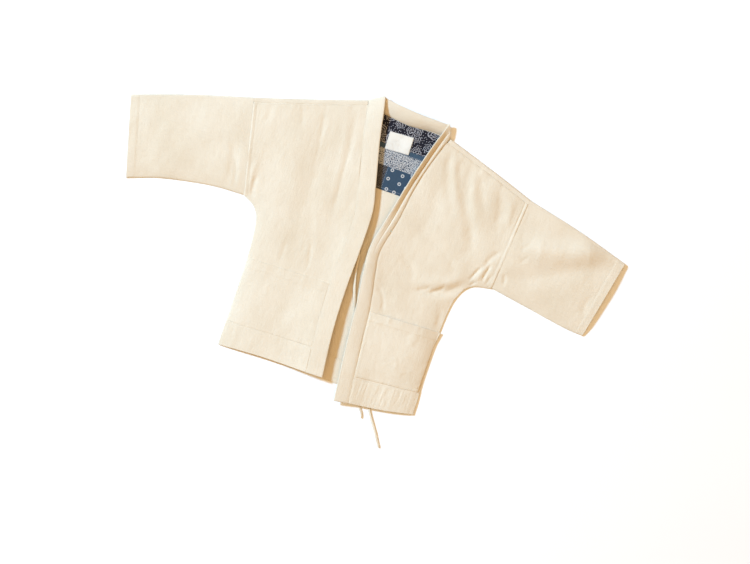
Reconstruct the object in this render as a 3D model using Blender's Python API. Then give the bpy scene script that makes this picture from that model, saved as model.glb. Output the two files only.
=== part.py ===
"""A kimono cardigan of slubby cream cotton, lying on its back with both fronts on top.

Units are metres. +X is the wearer's left, +Y points to the neck, and the floor is z = 0.
The back is one flat layer. Over it one height function, loft(), gives the lower side of the
fronts and of the sleeves' upper layer, so that pieces sewn together meet at the same height.
Every piece is a wall of cloth, cut from an outline and 0.3 mm clear of its neighbours.
"""

import bpy
import numpy as np
from mathutils import Vector
from mathutils.geometry import delaunay_2d_cdt

# Thicknesses, and the clearance at every seam
CLOTH = 0.0014
BAND = 0.0032
LINING = 0.0008
LABEL = 0.0008
FACING = 0.0010
TIE = 0.005
GAP = 0.0003
BAND_CLEAR = 0.0015  # from the neck's corners, where the band turns over, to the shoulders' cloth

# How the layers lie
FOLD_RADIUS = 0.0045  # outer radius of the fold along the shoulders and sleeve tops
SEAM_FORWARD = 0.012  # the shoulder seam lies this far in front of the fold
PLATEAU = 0.0105  # height of the upper layer, away from its edges
SEAM_REACH = 0.030  # the upper layer leaves a side seam over about this length
FOLD_REACH = 0.040  # and a fold over this
FRONT_LIFT = 0.0155  # the right front's edge stands this much higher at the hem
LIFT_REACH = 0.070
LIFT_SPAN = (0.31, -0.34)  # y at which that lift starts and is full
NECK_SEAM = 0.0022  # height of the band's seam edge along the back neck

# Spacing of points: inside a curved panel, inside a flat one, along a tie, along the band, and
# along the outlines that the height is measured from
FINE = 0.024
COARSE = 0.075
TIE_STEP = 0.014
BAND_STEP = 0.020
OUTLINE_STEP = 0.030
WRAP_COLUMNS = 9

# Curves seen from above, each through rows of (x, y) from the neck or the underarm outwards
SHOULDER = {
    "right": [(-0.088, 0.357), (-0.243, 0.305), (-0.360, 0.268)],
    "left": [(0.137, 0.334), (0.273, 0.291), (0.376, 0.256)],
}
SLEEVE_TOP = {
    "right": [(-0.360, 0.268), (-0.509, 0.223), (-0.6515, 0.173)],
    "left": [(0.376, 0.256), (0.520, 0.223), (0.6515, 0.185)],
}
SLEEVE_LOW = {
    "right": [(-0.303, 0.030), (-0.396, 0.024), (-0.515, 0.000), (-0.594, -0.028)],
    "left": [(0.359, 0.016), (0.465, -0.001), (0.558, -0.016), (0.611, -0.020)],
}
SIDE = {
    "right": [
        (-0.303, 0.030), (-0.270, 0.011), (-0.252, -0.024), (-0.243, -0.104),
        (-0.2405, -0.200), (-0.239, -0.343),
    ],
    "left": [
        (0.359, 0.016), (0.309, 0.003), (0.283, -0.034), (0.273, -0.099),
        (0.272, -0.222), (0.279, -0.346),
    ],
}
FRONT_HEM = {
    "right": [(-0.239, -0.343), (-0.125, -0.336), (-0.010, -0.335)],
    "left": [(0.279, -0.346), (0.200, -0.362), (0.117, -0.373)],
}
BACK_HEM = [(-0.238, -0.3435), (0.034, -0.338), (0.276, -0.339)]
YOKE = [(-0.205, 0.157), (0.235, 0.157), (0.252, 0.275), (0.146, 0.309), (0.129, 0.3305),
        (0.085, 0.333), (0.027, 0.329), (-0.044, 0.3368), (-0.083, 0.3495), (-0.095, 0.345),
        (-0.222, 0.288)]
LABEL_CORNERS = [(-0.0095, 0.257), (0.0515, 0.2605), (0.0500, 0.3055), (-0.0110, 0.3020)]
HEM_FACING = [(-0.212, -0.3390), (0.034, -0.3350), (0.246, -0.3360), (0.246, -0.2745), (-0.212, -0.2790)]
POCKET = {
    "right": [(-0.2385, -0.279), (-0.2385, -0.1155), (-0.031, -0.1080), (-0.0235, -0.270)],
    "left": [(0.2705, -0.290), (0.2700, -0.1320), (0.094, -0.1405), (0.111, -0.305)],
}

# The collar band from the right hem, round the neck, to the left hem. Columns: where the row
# is; x and y of the seamed edge; x and y of the edge seen from above; and the heights of the
# band over its seam, at even steps to that edge. On the left front it has a lengthwise crease
BAND_ROWS = [
    ("front", -0.0100, -0.3350, 0.0330, -0.3340, 0.0004, 0.0008, 0.0011, 0.0013, 0.0015, 0.0016),
    ("front", -0.0220, -0.2210, 0.0200, -0.2190, 0.0004, 0.0007, 0.0010, 0.0012, 0.0013, 0.0014),
    ("front", -0.0280, -0.1110, 0.0155, -0.1110, 0.0003, 0.0006, 0.0008, 0.0010, 0.0011, 0.0012),
    ("front", -0.0260, -0.0120, 0.0165, -0.0120, 0.0003, 0.0006, 0.0008, 0.0010, 0.0011, 0.0012),
    ("front", -0.0270, 0.0840, 0.0145, 0.0920, 0.0003, 0.0006, 0.0008, 0.0010, 0.0011, 0.0012),
    ("front", -0.0410, 0.1460, 0.0010, 0.1550, 0.0003, 0.0006, 0.0008, 0.0010, 0.0011, 0.0012),
    ("front", -0.0690, 0.2580, -0.0280, 0.2680, 0.0007, 0.0015, 0.0022, 0.0028, 0.0034, 0.0040),
    ("front", -0.0835, 0.3280, -0.0430, 0.3410, 0.0017, 0.0034, 0.0051, 0.0066, 0.0079, 0.0089),
    ("front", -0.0870, 0.3525, -0.0505, 0.3735, 0.0019, 0.0039, 0.0057, 0.0073, 0.0087, 0.0096),
    ("fold", -0.0885, 0.3560, -0.0525, 0.3780, 0.0018, 0.0036, 0.0054, 0.0070, 0.0084, 0.0094),
    ("neck", -0.0850, 0.3525, -0.0480, 0.3755, 0.0017, 0.0034, 0.0051, 0.0068, 0.0082, 0.0092),
    ("neck", -0.0440, 0.3390, -0.0160, 0.3700, 0.0025, 0.0052, 0.0078, 0.0098, 0.0112, 0.0116),
    ("neck", 0.0270, 0.3310, 0.0400, 0.3650, 0.0045, 0.0085, 0.0115, 0.0135, 0.0140, 0.0125),
    ("neck", 0.0850, 0.3350, 0.0880, 0.3640, 0.0050, 0.0095, 0.0125, 0.0145, 0.0150, 0.0130),
    ("neck", 0.1310, 0.3330, 0.1165, 0.3640, 0.0038, 0.0070, 0.0090, 0.0105, 0.0110, 0.0105),
    ("fold", 0.1370, 0.3330, 0.1225, 0.3660, 0.0025, 0.0045, 0.0060, 0.0070, 0.0075, 0.0075),
    ("front", 0.1350, 0.3280, 0.1210, 0.3600, 0.0018, 0.0028, 0.0034, 0.0044, 0.0060, 0.0070),
    ("front", 0.1230, 0.2950, 0.1040, 0.3060, 0.0020, 0.0018, 0.0008, 0.0030, 0.0074, 0.0100),
    ("front", 0.0970, 0.1980, 0.0770, 0.2010, 0.0020, 0.0018, 0.0008, 0.0030, 0.0074, 0.0100),
    ("front", 0.0830, 0.1000, 0.0570, 0.1050, 0.0015, 0.0022, 0.0020, 0.0032, 0.0058, 0.0070),
    ("front", 0.0660, 0.0140, 0.0390, 0.0150, 0.0018, 0.0030, 0.0039, 0.0046, 0.0050, 0.0046),
    ("front", 0.0730, -0.0480, 0.0435, -0.0480, 0.0022, 0.0035, 0.0044, 0.0051, 0.0054, 0.0049),
    ("front", 0.0880, -0.1300, 0.0545, -0.1300, 0.0013, 0.0022, 0.0030, 0.0036, 0.0040, 0.0039),
    ("front", 0.1000, -0.2400, 0.0650, -0.2400, 0.0009, 0.0015, 0.0021, 0.0026, 0.0029, 0.0029),
    ("front", 0.1170, -0.3730, 0.0815, -0.3790, 0.0008, 0.0014, 0.0019, 0.0024, 0.0027, 0.0027),
]

# Rows of the table whose free edge belongs to the right front, and whose seamed edge bounds
# each front
LAST_RIGHT_ROW = 8
FRONT_ROWS = {"right": BAND_ROWS[:9], "left": BAND_ROWS[:-10:-1]}

# The largest folds of the upper layer. Columns: start x, y; end x, y; height, negative for a
# trough; half width
FOLDS = [
    (-0.144, 0.300, -0.144, 0.010, -0.0022, 0.016),
    (-0.111, 0.290, -0.085, 0.010, -0.0018, 0.015),
    (-0.195, 0.190, -0.175, -0.100, 0.0016, 0.024),
    (-0.107, -0.040, -0.093, -0.110, -0.0024, 0.013),
    (-0.318, 0.240, -0.285, 0.040, -0.0026, 0.014),
    (0.300, -0.012, 0.205, -0.036, -0.0026, 0.014),
    (0.336, 0.040, 0.346, 0.110, -0.0022, 0.013),
    (0.400, 0.050, 0.560, 0.165, -0.0026, 0.024),
    (0.170, 0.260, 0.150, 0.080, -0.0018, 0.018),
    (0.110, -0.118, 0.160, -0.112, -0.0022, 0.012),
    (-0.430, 0.180, -0.520, 0.060, 0.0016, 0.026),
]

# The ties, from where each is sewn under its front, through points of (x, y, z)
TIES = {
    "right": [
        (0.0060, -0.0060, 0.0124), (0.0180, -0.0150, 0.0122), (0.0230, -0.0500, 0.0110),
        (0.0330, -0.0900, 0.0085), (0.0470, -0.1300, 0.0052), (0.0680, -0.1900, 0.0043),
        (0.0980, -0.2480, 0.0048), (0.1230, -0.2800, 0.0057), (0.1380, -0.3340, 0.0056),
        (0.1455, -0.3700, 0.0034), (0.1560, -0.3860, 0.0029), (0.1610, -0.3990, 0.0028),
    ],
    "left": [
        (0.0900, -0.0150, 0.0060), (0.1010, -0.0500, 0.0044), (0.1080, -0.1100, 0.0043),
        (0.1240, -0.1800, 0.0043), (0.1390, -0.2480, 0.0047), (0.1500, -0.2800, 0.0057),
        (0.1630, -0.3350, 0.0056), (0.1700, -0.3680, 0.0034), (0.1830, -0.3900, 0.0029),
        (0.2030, -0.4180, 0.0028), (0.2160, -0.4380, 0.0028), (0.2270, -0.4540, 0.0028),
    ],
}

# Base colour and roughness of each kind of cloth
CREAM = (0.86, 0.77, 0.62, 0.90)
CREAM_BAND = (0.84, 0.75, 0.61, 0.88)
INDIGO = (0.06, 0.10, 0.18, 0.85)
WHITE = (0.90, 0.90, 0.88, 0.60)


def smooth(rows, spacing=None, counts=None):
    """Points of a Catmull-Rom curve through the rows, a given length apart or `counts` to a span."""
    rows = np.asarray(rows, float)
    before = 2 * rows[:1] - rows[1:2]
    after = 2 * rows[-1:] - rows[-2:-1]
    knots = np.vstack([before, rows, after])
    points = [rows[:1]]
    for i in range(len(rows) - 1):
        a, b, c, d = knots[i : i + 4]
        count = counts[i] if counts else max(1, round(np.linalg.norm(c - b) / spacing))
        t = (np.arange(1, count + 1) / count)[:, None]
        points.append(
            0.5 * (2 * b + (c - a) * t + (2 * a - 5 * b + 4 * c - d) * t**2
                   + (3 * b - 3 * c + d - a) * t**3)
        )
    return np.vstack(points)


def distance(points, line):
    """Distance from each point (x, y) to a polyline."""
    start = line[:-1][None]
    step = (line[1:] - line[:-1])[None]
    offset = points[:, None] - start
    along = np.clip((offset * step).sum(2) / np.maximum((step**2).sum(2), 1e-12), 0, 1)
    return np.linalg.norm(offset - along[..., None] * step, axis=2).min(1)


LOW_EDGES = [smooth(rows[side], OUTLINE_STEP) for rows in (SIDE, SLEEVE_LOW) for side in rows]
TOP_EDGES = [smooth(rows[side], OUTLINE_STEP) for rows in (SHOULDER, SLEEVE_TOP) for side in rows]
RIGHT_EDGE = smooth([row[3:5] for row in BAND_ROWS[:LAST_RIGHT_ROW]], OUTLINE_STEP)


def loft(points):
    """Height of the upper layer's lower side at each point (x, y).

    A plateau that falls to the fold's height along shoulders and sleeve tops and to the lower
    layer along the side seams, both exponentially. The right front's edge rises towards the
    hem, as a bell curve of the distance to it. Each fold is a bell curve across its line.
    """
    points = np.atleast_2d(points)
    low = np.min([distance(points, line) for line in LOW_EDGES], axis=0)
    top = np.min([distance(points, line) for line in TOP_EDGES], axis=0)
    neck_end, hem_end = LIFT_SPAN
    towards_hem = np.clip((neck_end - points[:, 1]) / (neck_end - hem_end), 0, 1)
    lift = FRONT_LIFT * towards_hem * np.exp(-((distance(points, RIGHT_EDGE) / LIFT_REACH) ** 2))
    height = PLATEAU + lift
    for x0, y0, x1, y1, rise, half in FOLDS:
        away = distance(points, np.array([(x0, y0), (x1, y1)]))
        height = height + rise * np.exp(-((away / half) ** 2))
    fold_top = 2 * FOLD_RADIUS - CLOTH
    past_fold = np.maximum(top - FOLD_RADIUS, 0)
    height = fold_top + (height - fold_top) * (1 - np.exp(-past_fold / FOLD_REACH))
    seam_top = CLOTH + GAP
    return seam_top + (height - seam_top) * (1 - np.exp(-low / SEAM_REACH))


def slope_factor(points):
    """How much longer a vertical step through sloping cloth is than the cloth is thick."""
    step = 1e-3
    dx = (loft(points + [step, 0]) - loft(points - [step, 0])) / (2 * step)
    dy = (loft(points + [0, step]) - loft(points - [0, step])) / (2 * step)
    return np.sqrt(1 + dx**2 + dy**2)


def armhole_x(side, y):
    """x of the straight armhole seam at the height y."""
    (x1, y1), (x0, y0) = SHOULDER[side][-1], SIDE[side][0]
    return x0 + (x1 - x0) * (y - y0) / (y1 - y0)


def material(name, look):
    red, green, blue, roughness = look
    made = bpy.data.materials.new(name)
    made.use_nodes = True
    shader = made.node_tree.nodes["Principled BSDF"]
    shader.inputs["Base Color"].default_value = (red, green, blue, 1)
    shader.inputs["Roughness"].default_value = roughness
    shader.inputs["Metallic"].default_value = 0
    made.diffuse_color = (red, green, blue, 1)
    return made


def add_object(name, points, faces, look):
    mesh = bpy.data.meshes.new(name)
    mesh.from_pydata([tuple(p) for p in points], [], faces)
    mesh.materials.append(material(name + "_cloth", look))
    mesh.shade_smooth()
    mesh.set_sharp_from_angle(angle=np.radians(50))
    made = bpy.data.objects.new(name, mesh)
    bpy.context.scene.collection.objects.link(made)
    return made


def add_wall(name, lower, upper, faces, look):
    """A closed wall between two like sets of points. Its faces run anticlockwise on the upper side."""
    count = len(lower)
    edges = {}
    for face in faces:
        for a, b in zip(face, face[1:] + face[:1]):
            edges[a, b] = True
    rims = [(a, b, b + count, a + count) for a, b in edges if (b, a) not in edges]
    under = [tuple(reversed(face)) for face in faces]
    over = [tuple(i + count for i in face) for face in faces]
    return add_object(name, np.vstack([lower, upper]), under + over + rims, look)


def inside(points, outline):
    """Which points (x, y) a closed outline holds."""
    x, y = points[:, 0:1], points[:, 1:2]
    x0, y0 = outline[:, 0], outline[:, 1]
    x1, y1 = np.roll(x0, -1), np.roll(y0, -1)
    straddles = (y0 > y) != (y1 > y)
    rise = np.where(y1 == y0, 1, y1 - y0)
    crosses = x < x0 + (y - y0) * (x1 - x0) / rise
    return (straddles & crosses).sum(1) % 2 == 1


def clear_inside(points, loops, clearance):
    """The points that the first loop holds and that keep clear of every loop."""
    keep = inside(points, loops[0])
    for loop in loops:
        keep &= distance(points, np.vstack([loop, loop[:1]])) > clearance
    return points[keep]


def cut(outline, spacing, inner=None, extra=None):
    """Triangles that fill an outline, with an even grid of points inside.

    `inner` is a second outline whose edges the triangles follow, and `extra` holds points
    that a fold needs, which take the place of the grid's points near them.
    """
    loops = [outline] + ([inner] if inner is not None else [])
    low, high = outline.min(0), outline.max(0)
    xs = np.arange(low[0], high[0], spacing)
    ys = np.arange(low[1], high[1], spacing * np.sqrt(0.75))
    grid = np.array([(x + spacing / 2 * (row % 2), y) for row, y in enumerate(ys) for x in xs])
    points = clear_inside(grid, loops, 0.4 * spacing)
    if extra is not None:
        extra = clear_inside(extra, loops, GAP * 5)
        apart = np.linalg.norm(points[:, None] - extra[None], axis=2).min(1)
        points = np.vstack([points[apart > 0.5 * spacing], extra])
    points = np.vstack(loops + [points])
    edges = []
    first = 0
    for loop in loops:
        count = len(loop)
        edges += [(first + i, first + (i + 1) % count) for i in range(count)]
        first += count
    flat, _, faces, *_ = delaunay_2d_cdt(
        [Vector(p) for p in points], edges, [list(range(len(outline)))], 1, 1e-7
    )
    flat = np.array([tuple(p) for p in flat])
    turned = []
    for face in faces:
        a, b, c = flat[list(face)]
        anticlockwise = (b[0] - a[0]) * (c[1] - a[1]) - (b[1] - a[1]) * (c[0] - a[0]) > 0
        turned.append(tuple(face) if anticlockwise else tuple(reversed(face)))
    return flat, turned


def fold_points():
    """Points along the middle and both flanks of each fold."""
    rows = []
    for x0, y0, x1, y1, _, half in FOLDS:
        start, end = np.array([x0, y0]), np.array([x1, y1])
        length = np.linalg.norm(end - start)
        side = np.array([y0 - y1, x1 - x0]) / length * half * 1.2
        steps = np.linspace(0, 1, max(2, round(length / FINE)))[:, None]
        rows += [start + (end - start) * steps + side * flank for flank in (-1, 0, 1)]
    points = np.vstack(rows)
    kept = points[:1]
    for point in points[1:]:
        if np.linalg.norm(kept - point, axis=1).min() > FINE * 0.4:
            kept = np.vstack([kept, point])
    return kept


def at_height(points, height):
    return np.column_stack([points, np.broadcast_to(height, len(points))])


def dense(corners, spacing):
    """The straight edges of a closed outline, divided into steps."""
    corners = np.asarray(corners, float)
    sides = []
    for a, b in zip(corners, np.roll(corners, -1, axis=0)):
        count = max(1, round(np.linalg.norm(b - a) / spacing))
        sides.append(a + (b - a) * (np.arange(count) / count)[:, None])
    return np.vstack(sides)


def band_surface():
    """Centre surface of the collar band: a row of points across it at each step along it.

    Each row's points lie at even steps from the seam to the edge seen from above, as high over
    the seam as the table says. Its seamed edge keeps clear of the cloth that it is sewn to, by
    more the more steeply it stands.
    """
    rows = []
    for place, seam_x, seam_y, edge_x, edge_y, *heights in BAND_ROWS:
        top = loft((seam_x, seam_y))[0] + CLOTH / 2
        seam_z = {"front": top, "neck": NECK_SEAM, "fold": (top + NECK_SEAM) / 2}[place]
        rows.append((seam_x, seam_y, seam_z, edge_x, edge_y, 0, *heights))
    counts = []
    for this, following in zip(BAND_ROWS, BAND_ROWS[1:]):
        length = np.hypot(following[1] - this[1], following[2] - this[2])
        turning = "fold" in (this[0], following[0])
        counts.append(3 if turning else max(2, round(length / BAND_STEP)))
    line = smooth(rows, counts=counts)
    seam, heights = line[:, 0:3], line[:, 5:]
    level = line[:, 3:5] - seam[:, :2]
    width = np.linalg.norm(level, axis=1, keepdims=True)
    steps = heights.shape[1] - 1
    steepness = np.sin(np.arctan2(heights[:, 1:2], width / steps))
    clear = GAP + BAND / 2 * steepness
    away = clear + (width - clear) * np.arange(steps + 1) / steps
    plan = seam[:, None, :2] + (level / width)[:, None] * away[..., None]
    return np.concatenate([plan, (seam[:, 2:] + heights)[..., None]], axis=2)


def normals(grid):
    """Unit normals of a grid of points, from the steps along its two directions."""
    along = np.gradient(grid, axis=0)
    across = np.gradient(grid, axis=1)
    normal = np.cross(across, along)
    return normal / np.linalg.norm(normal, axis=2, keepdims=True)


def add_band():
    centre = band_surface()
    offset = normals(centre) * BAND / 2
    rows, columns = centre.shape[:2]
    index = np.arange(rows * columns).reshape(rows, columns)
    faces = [
        (int(index[i, j]), int(index[i, j + 1]), int(index[i + 1, j + 1]), int(index[i + 1, j]))
        for i in range(rows - 1) for j in range(columns - 1)
    ]
    add_wall("collar_band", (centre - offset).reshape(-1, 3), (centre + offset).reshape(-1, 3),
             faces, CREAM_BAND)


def shoulder_line(x):
    """y where the cloth starts to turn over at the shoulder."""
    right, left = (smooth(SHOULDER[side], OUTLINE_STEP) for side in ("right", "left"))
    rows = np.vstack([right[::-1], left])
    return np.interp(x, rows[:, 0], rows[:, 1]) - FOLD_RADIUS


def fold_over(pattern, depth):
    """The back's pattern (x, length past the shoulder line) laid and folded in space.

    Up to the line the cloth is flat. Past it, outside the neck, it turns half round a circle
    and comes forward on the upper layer. `depth` is measured in from the outer side.
    """
    x, past = pattern[:, 0], pattern[:, 1]
    start = shoulder_line(x)
    turn = np.pi * FOLD_RADIUS
    neck = (x > SHOULDER["right"][0][0] + GAP / 2) & (x < SHOULDER["left"][0][0] - GAP / 2)
    angle = np.clip(past / FOLD_RADIUS, 0, np.pi)
    radius = FOLD_RADIUS - depth
    y = start + np.minimum(past, 0) + radius * np.sin(angle) - np.maximum(past - turn, 0)
    z = FOLD_RADIUS - radius * np.cos(angle)
    forward = past > turn + 1e-6
    upper = loft(np.column_stack([x, y])) + CLOTH - depth
    z = np.where(forward, upper, z)
    y = np.where(neck, start + past, y)
    z = np.where(neck, depth, z)
    return np.column_stack([x, y, z])


def wrap_steps():
    """Lengths past the shoulder line at which the turn and the strip in front of it have points."""
    turn = np.pi * FOLD_RADIUS
    return [*np.linspace(0, turn, 5), turn + SEAM_FORWARD - FOLD_RADIUS]


def wrap_edge(side):
    """The wrapped strip's end at the armhole seam, in the back's pattern."""
    steps = np.array(wrap_steps())
    outward = FOLD_RADIUS * np.sin(np.minimum(steps / FOLD_RADIUS, np.pi))
    forward = np.maximum(steps - np.pi * FOLD_RADIUS, 0)
    y = shoulder_line(SHOULDER[side][-1][0]) + outward - forward
    return list(zip(armhole_x(side, y), steps))


def add_back():
    """The back, with the strips that fold over the shoulders to the shoulder seams."""
    steps = wrap_steps()
    columns = {
        side: np.linspace(neck[0] + np.sign(neck[0]) * BAND_CLEAR, arm[0], WRAP_COLUMNS)
        for side, (neck, *_, arm) in SHOULDER.items()
    }
    neck_rows = [row[1:3] for row in BAND_ROWS if row[0] == "neck"][1:-1]
    neck_line = smooth([(x, y - GAP) for x, y in neck_rows], OUTLINE_STEP)

    def pattern(points):
        return [(x, y - shoulder_line(x)) for x, y in points]

    def half_outline(side):
        """From the hem's corner up the side, the armhole, the shoulder seam and the neck's corner."""
        arm = [(armhole_x(side, y), y) for y in (0.10, 0.18)]
        rows = pattern(smooth(SIDE[side], OUTLINE_STEP)[::-1]) + pattern(arm) + wrap_edge(side)
        rows += [(x, steps[-1]) for x in columns[side][-2:0:-1]]
        return rows + [(columns[side][0], step) for step in reversed(steps)]

    outline = pattern(smooth(BACK_HEM, COARSE)[1:-1]) + half_outline("left")
    outline += pattern(neck_line[::-1]) + half_outline("right")[::-1]
    wraps = [(x, step) for xs in columns.values() for x in xs[1:-1] for step in steps[:-1]]
    flat, faces = cut(np.array(outline), COARSE, extra=np.array(wraps))
    add_wall("back", fold_over(flat, 0.0), fold_over(flat, CLOTH), faces, CREAM)


def front_outline(side):
    """Anticlockwise outline of a front: side seam, armhole, shoulder seam, band seam and hem."""
    band_seam = smooth([row[1:3] for row in FRONT_ROWS[side]], FINE)
    xs = np.linspace(SHOULDER[side][-1][0], SHOULDER[side][0][0], WRAP_COLUMNS)
    shoulder = np.column_stack([xs, shoulder_line(xs) + FOLD_RADIUS - SEAM_FORWARD - GAP])
    shoulder[0, 0] = armhole_x(side, shoulder[0, 1])
    corner = shoulder[-1, 1]
    shoulder[-1, 0] = np.interp(corner, band_seam[:, 1], band_seam[:, 0])
    band_seam = band_seam[band_seam[:, 1] < corner - 0.2 * FINE]
    armhole_y = np.linspace(SIDE[side][0][1], shoulder[0, 1], 11)[1:-1]
    armhole = np.column_stack([armhole_x(side, armhole_y), armhole_y])
    hem = smooth(FRONT_HEM[side], FINE)[1:-1]
    side_seam = smooth(SIDE[side], FINE)[::-1]
    line = np.vstack([side_seam, armhole, shoulder, band_seam[::-1], hem[::-1]])
    return line if side == "left" else line[::-1]


def add_front(side):
    """A front panel, and the patch pocket made from the same points, moved out."""
    pocket = dense(POCKET[side], FINE)
    points, faces = cut(front_outline(side), FINE, inner=pocket, extra=fold_points())
    lower = loft(points)
    thick = slope_factor(points)
    upper = lower + CLOTH * thick
    add_wall(f"front_{side}", at_height(points, lower), at_height(points, upper), faces, CREAM)
    middles = np.array([points[list(face)].mean(0) for face in faces])
    inner = [face for face, held in zip(faces, inside(middles, pocket)) if held]
    used = sorted({i for face in inner for i in face})
    number = {old: new for new, old in enumerate(used)}
    inner = [tuple(number[i] for i in face) for face in inner]
    points, upper, thick = points[used], upper[used], thick[used]
    add_wall(f"pocket_{side}", at_height(points, upper + GAP * thick),
             at_height(points, upper + (GAP + CLOTH) * thick), inner, CREAM)


def sleeve_ring(top, low, depth):
    """One section of a sleeve: its lower layer, its seamed edge, its upper layer and its top fold.

    `top` and `low` are its ends seen from above. `depth` is measured in from the outer side.
    """
    width = np.linalg.norm(low - top)
    seam_radius = CLOTH + GAP / 2
    seam_turn = np.radians([-60, -20, 20, 60])
    fold_turn = np.radians([120, 150, 180, 210, 240])
    lower = np.linspace(FOLD_RADIUS, width - seam_radius, 6)
    upper = np.linspace(width - seam_radius, FOLD_RADIUS, 13)
    seam = width - seam_radius + (seam_radius - depth) * np.cos(seam_turn)
    fold = FOLD_RADIUS + (FOLD_RADIUS - depth) * np.cos(fold_turn)

    def place(away):
        return top + (low - top) * (away / width)[:, None]

    above = place(upper)
    return np.vstack([
        at_height(place(lower), depth),
        at_height(place(seam), seam_radius + (seam_radius - depth) * np.sin(seam_turn)),
        at_height(above, loft(above) + (CLOTH - depth) * slope_factor(above)),
        at_height(place(fold), FOLD_RADIUS + (FOLD_RADIUS - depth) * np.sin(fold_turn)),
    ])


def add_sleeve(side):
    """A tube of cloth, open at the armhole and at the cuff."""
    shift = np.array([np.sign(SLEEVE_TOP[side][0][0]) * GAP * 1.2, 0])
    tops = smooth(SLEEVE_TOP[side], counts=[6, 6]) + shift
    lows = smooth(SLEEVE_LOW[side], counts=[4, 4, 4]) + shift
    outer = np.array([sleeve_ring(a, b, 0.0) for a, b in zip(tops, lows)])
    inner = np.array([sleeve_ring(a, b, CLOTH) for a, b in zip(tops, lows)])
    rings, around = outer.shape[:2]
    count = rings * around
    faces = []

    def quad(a, b, c, d):
        faces.append((a, b, c, d) if side == "right" else (d, c, b, a))

    for j in range(around):
        k = (j + 1) % around
        for i in range(rings - 1):
            here, there = i * around, (i + 1) * around
            quad(here + j, here + k, there + k, there + j)
            quad(count + here + k, count + here + j, count + there + j, count + there + k)
        last = (rings - 1) * around
        quad(k, j, count + j, count + k)
        quad(last + j, last + k, count + last + k, count + last + j)
    add_object(f"sleeve_{side}", np.vstack([outer.reshape(-1, 3), inner.reshape(-1, 3)]), faces, CREAM)


def add_patch(name, corners, bottom, thickness, look):
    """A flat piece of cloth that lies on the back."""
    points, faces = cut(dense(corners, COARSE), COARSE)
    add_wall(name, at_height(points, bottom), at_height(points, bottom + thickness), faces, look)


def add_tie(side):
    """A narrow rolled tie, sewn under the front's edge and lying free from there."""
    points = smooth(TIES[side], TIE_STEP)
    curve = bpy.data.curves.new(f"tie_{side}", "CURVE")
    curve.dimensions = "3D"
    curve.bevel_depth = TIE / 2
    curve.bevel_resolution = 2
    curve.use_fill_caps = True
    line = curve.splines.new("POLY")
    line.points.add(len(points) - 1)
    for place, point in zip(line.points, points):
        place.co = (*point, 1)
    curve.materials.append(material(f"tie_{side}_cloth", CREAM))
    bpy.context.scene.collection.objects.link(bpy.data.objects.new(f"tie_{side}", curve))


for old in list(bpy.data.objects):
    bpy.data.objects.remove(old, do_unlink=True)

add_back()
on_back = CLOTH + GAP
add_patch("yoke_lining", YOKE, on_back, LINING, INDIGO)
add_patch("neck_label", LABEL_CORNERS, on_back + LINING + GAP, LABEL, WHITE)
add_patch("back_hem_facing", HEM_FACING, on_back, FACING, CREAM)
for side in ("right", "left"):
    add_front(side)
    add_sleeve(side)
    add_tie(side)
add_band()
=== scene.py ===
"""Looks for a kimono cardigan of cream slubby cotton, laid flat on its back.

Units are metres. +X is the wearer's left, +Y points to the neck, and the floor is z = 0.
"""

import bpy
import numpy as np
from mathutils import Matrix


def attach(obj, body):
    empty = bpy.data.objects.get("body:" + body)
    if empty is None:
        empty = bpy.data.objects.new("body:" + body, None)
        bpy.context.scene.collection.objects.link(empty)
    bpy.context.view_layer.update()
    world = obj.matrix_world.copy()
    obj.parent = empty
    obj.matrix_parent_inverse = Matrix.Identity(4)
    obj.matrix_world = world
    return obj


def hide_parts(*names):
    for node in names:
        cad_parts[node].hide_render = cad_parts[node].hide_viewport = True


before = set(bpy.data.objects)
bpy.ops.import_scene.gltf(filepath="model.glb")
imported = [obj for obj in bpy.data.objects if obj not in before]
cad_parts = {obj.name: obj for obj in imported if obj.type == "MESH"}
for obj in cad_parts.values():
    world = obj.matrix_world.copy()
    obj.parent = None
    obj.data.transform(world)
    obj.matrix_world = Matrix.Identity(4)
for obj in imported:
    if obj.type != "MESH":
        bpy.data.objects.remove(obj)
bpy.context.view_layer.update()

# The camera. It looks straight down from far above through a long lens, and is turned so that
# the garment lies askew in the picture, its neck towards the upper right.
VIEW_CENTRE = (0.0787, -0.066)
VIEW_UP = (-0.3338, 0.9426)
VIEW_WIDTH = 1.875
CAMERA_HEIGHT = 7.0

lens = bpy.data.cameras.new("camera_above")
lens.sensor_width = 36
lens.lens = lens.sensor_width * CAMERA_HEIGHT / VIEW_WIDTH
lens.clip_end = 50
camera = bpy.data.objects.new("camera_above", lens)
up = np.array([*VIEW_UP, 0]) / np.hypot(*VIEW_UP)
across = np.cross(up, [0, 0, 1])
turned = Matrix(np.column_stack([across, up, [0, 0, 1]]).tolist()).to_4x4()
camera.matrix_world = Matrix.Translation((*VIEW_CENTRE, CAMERA_HEIGHT)) @ turned
bpy.context.scene.collection.objects.link(camera)
bpy.context.scene.camera = camera


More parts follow.
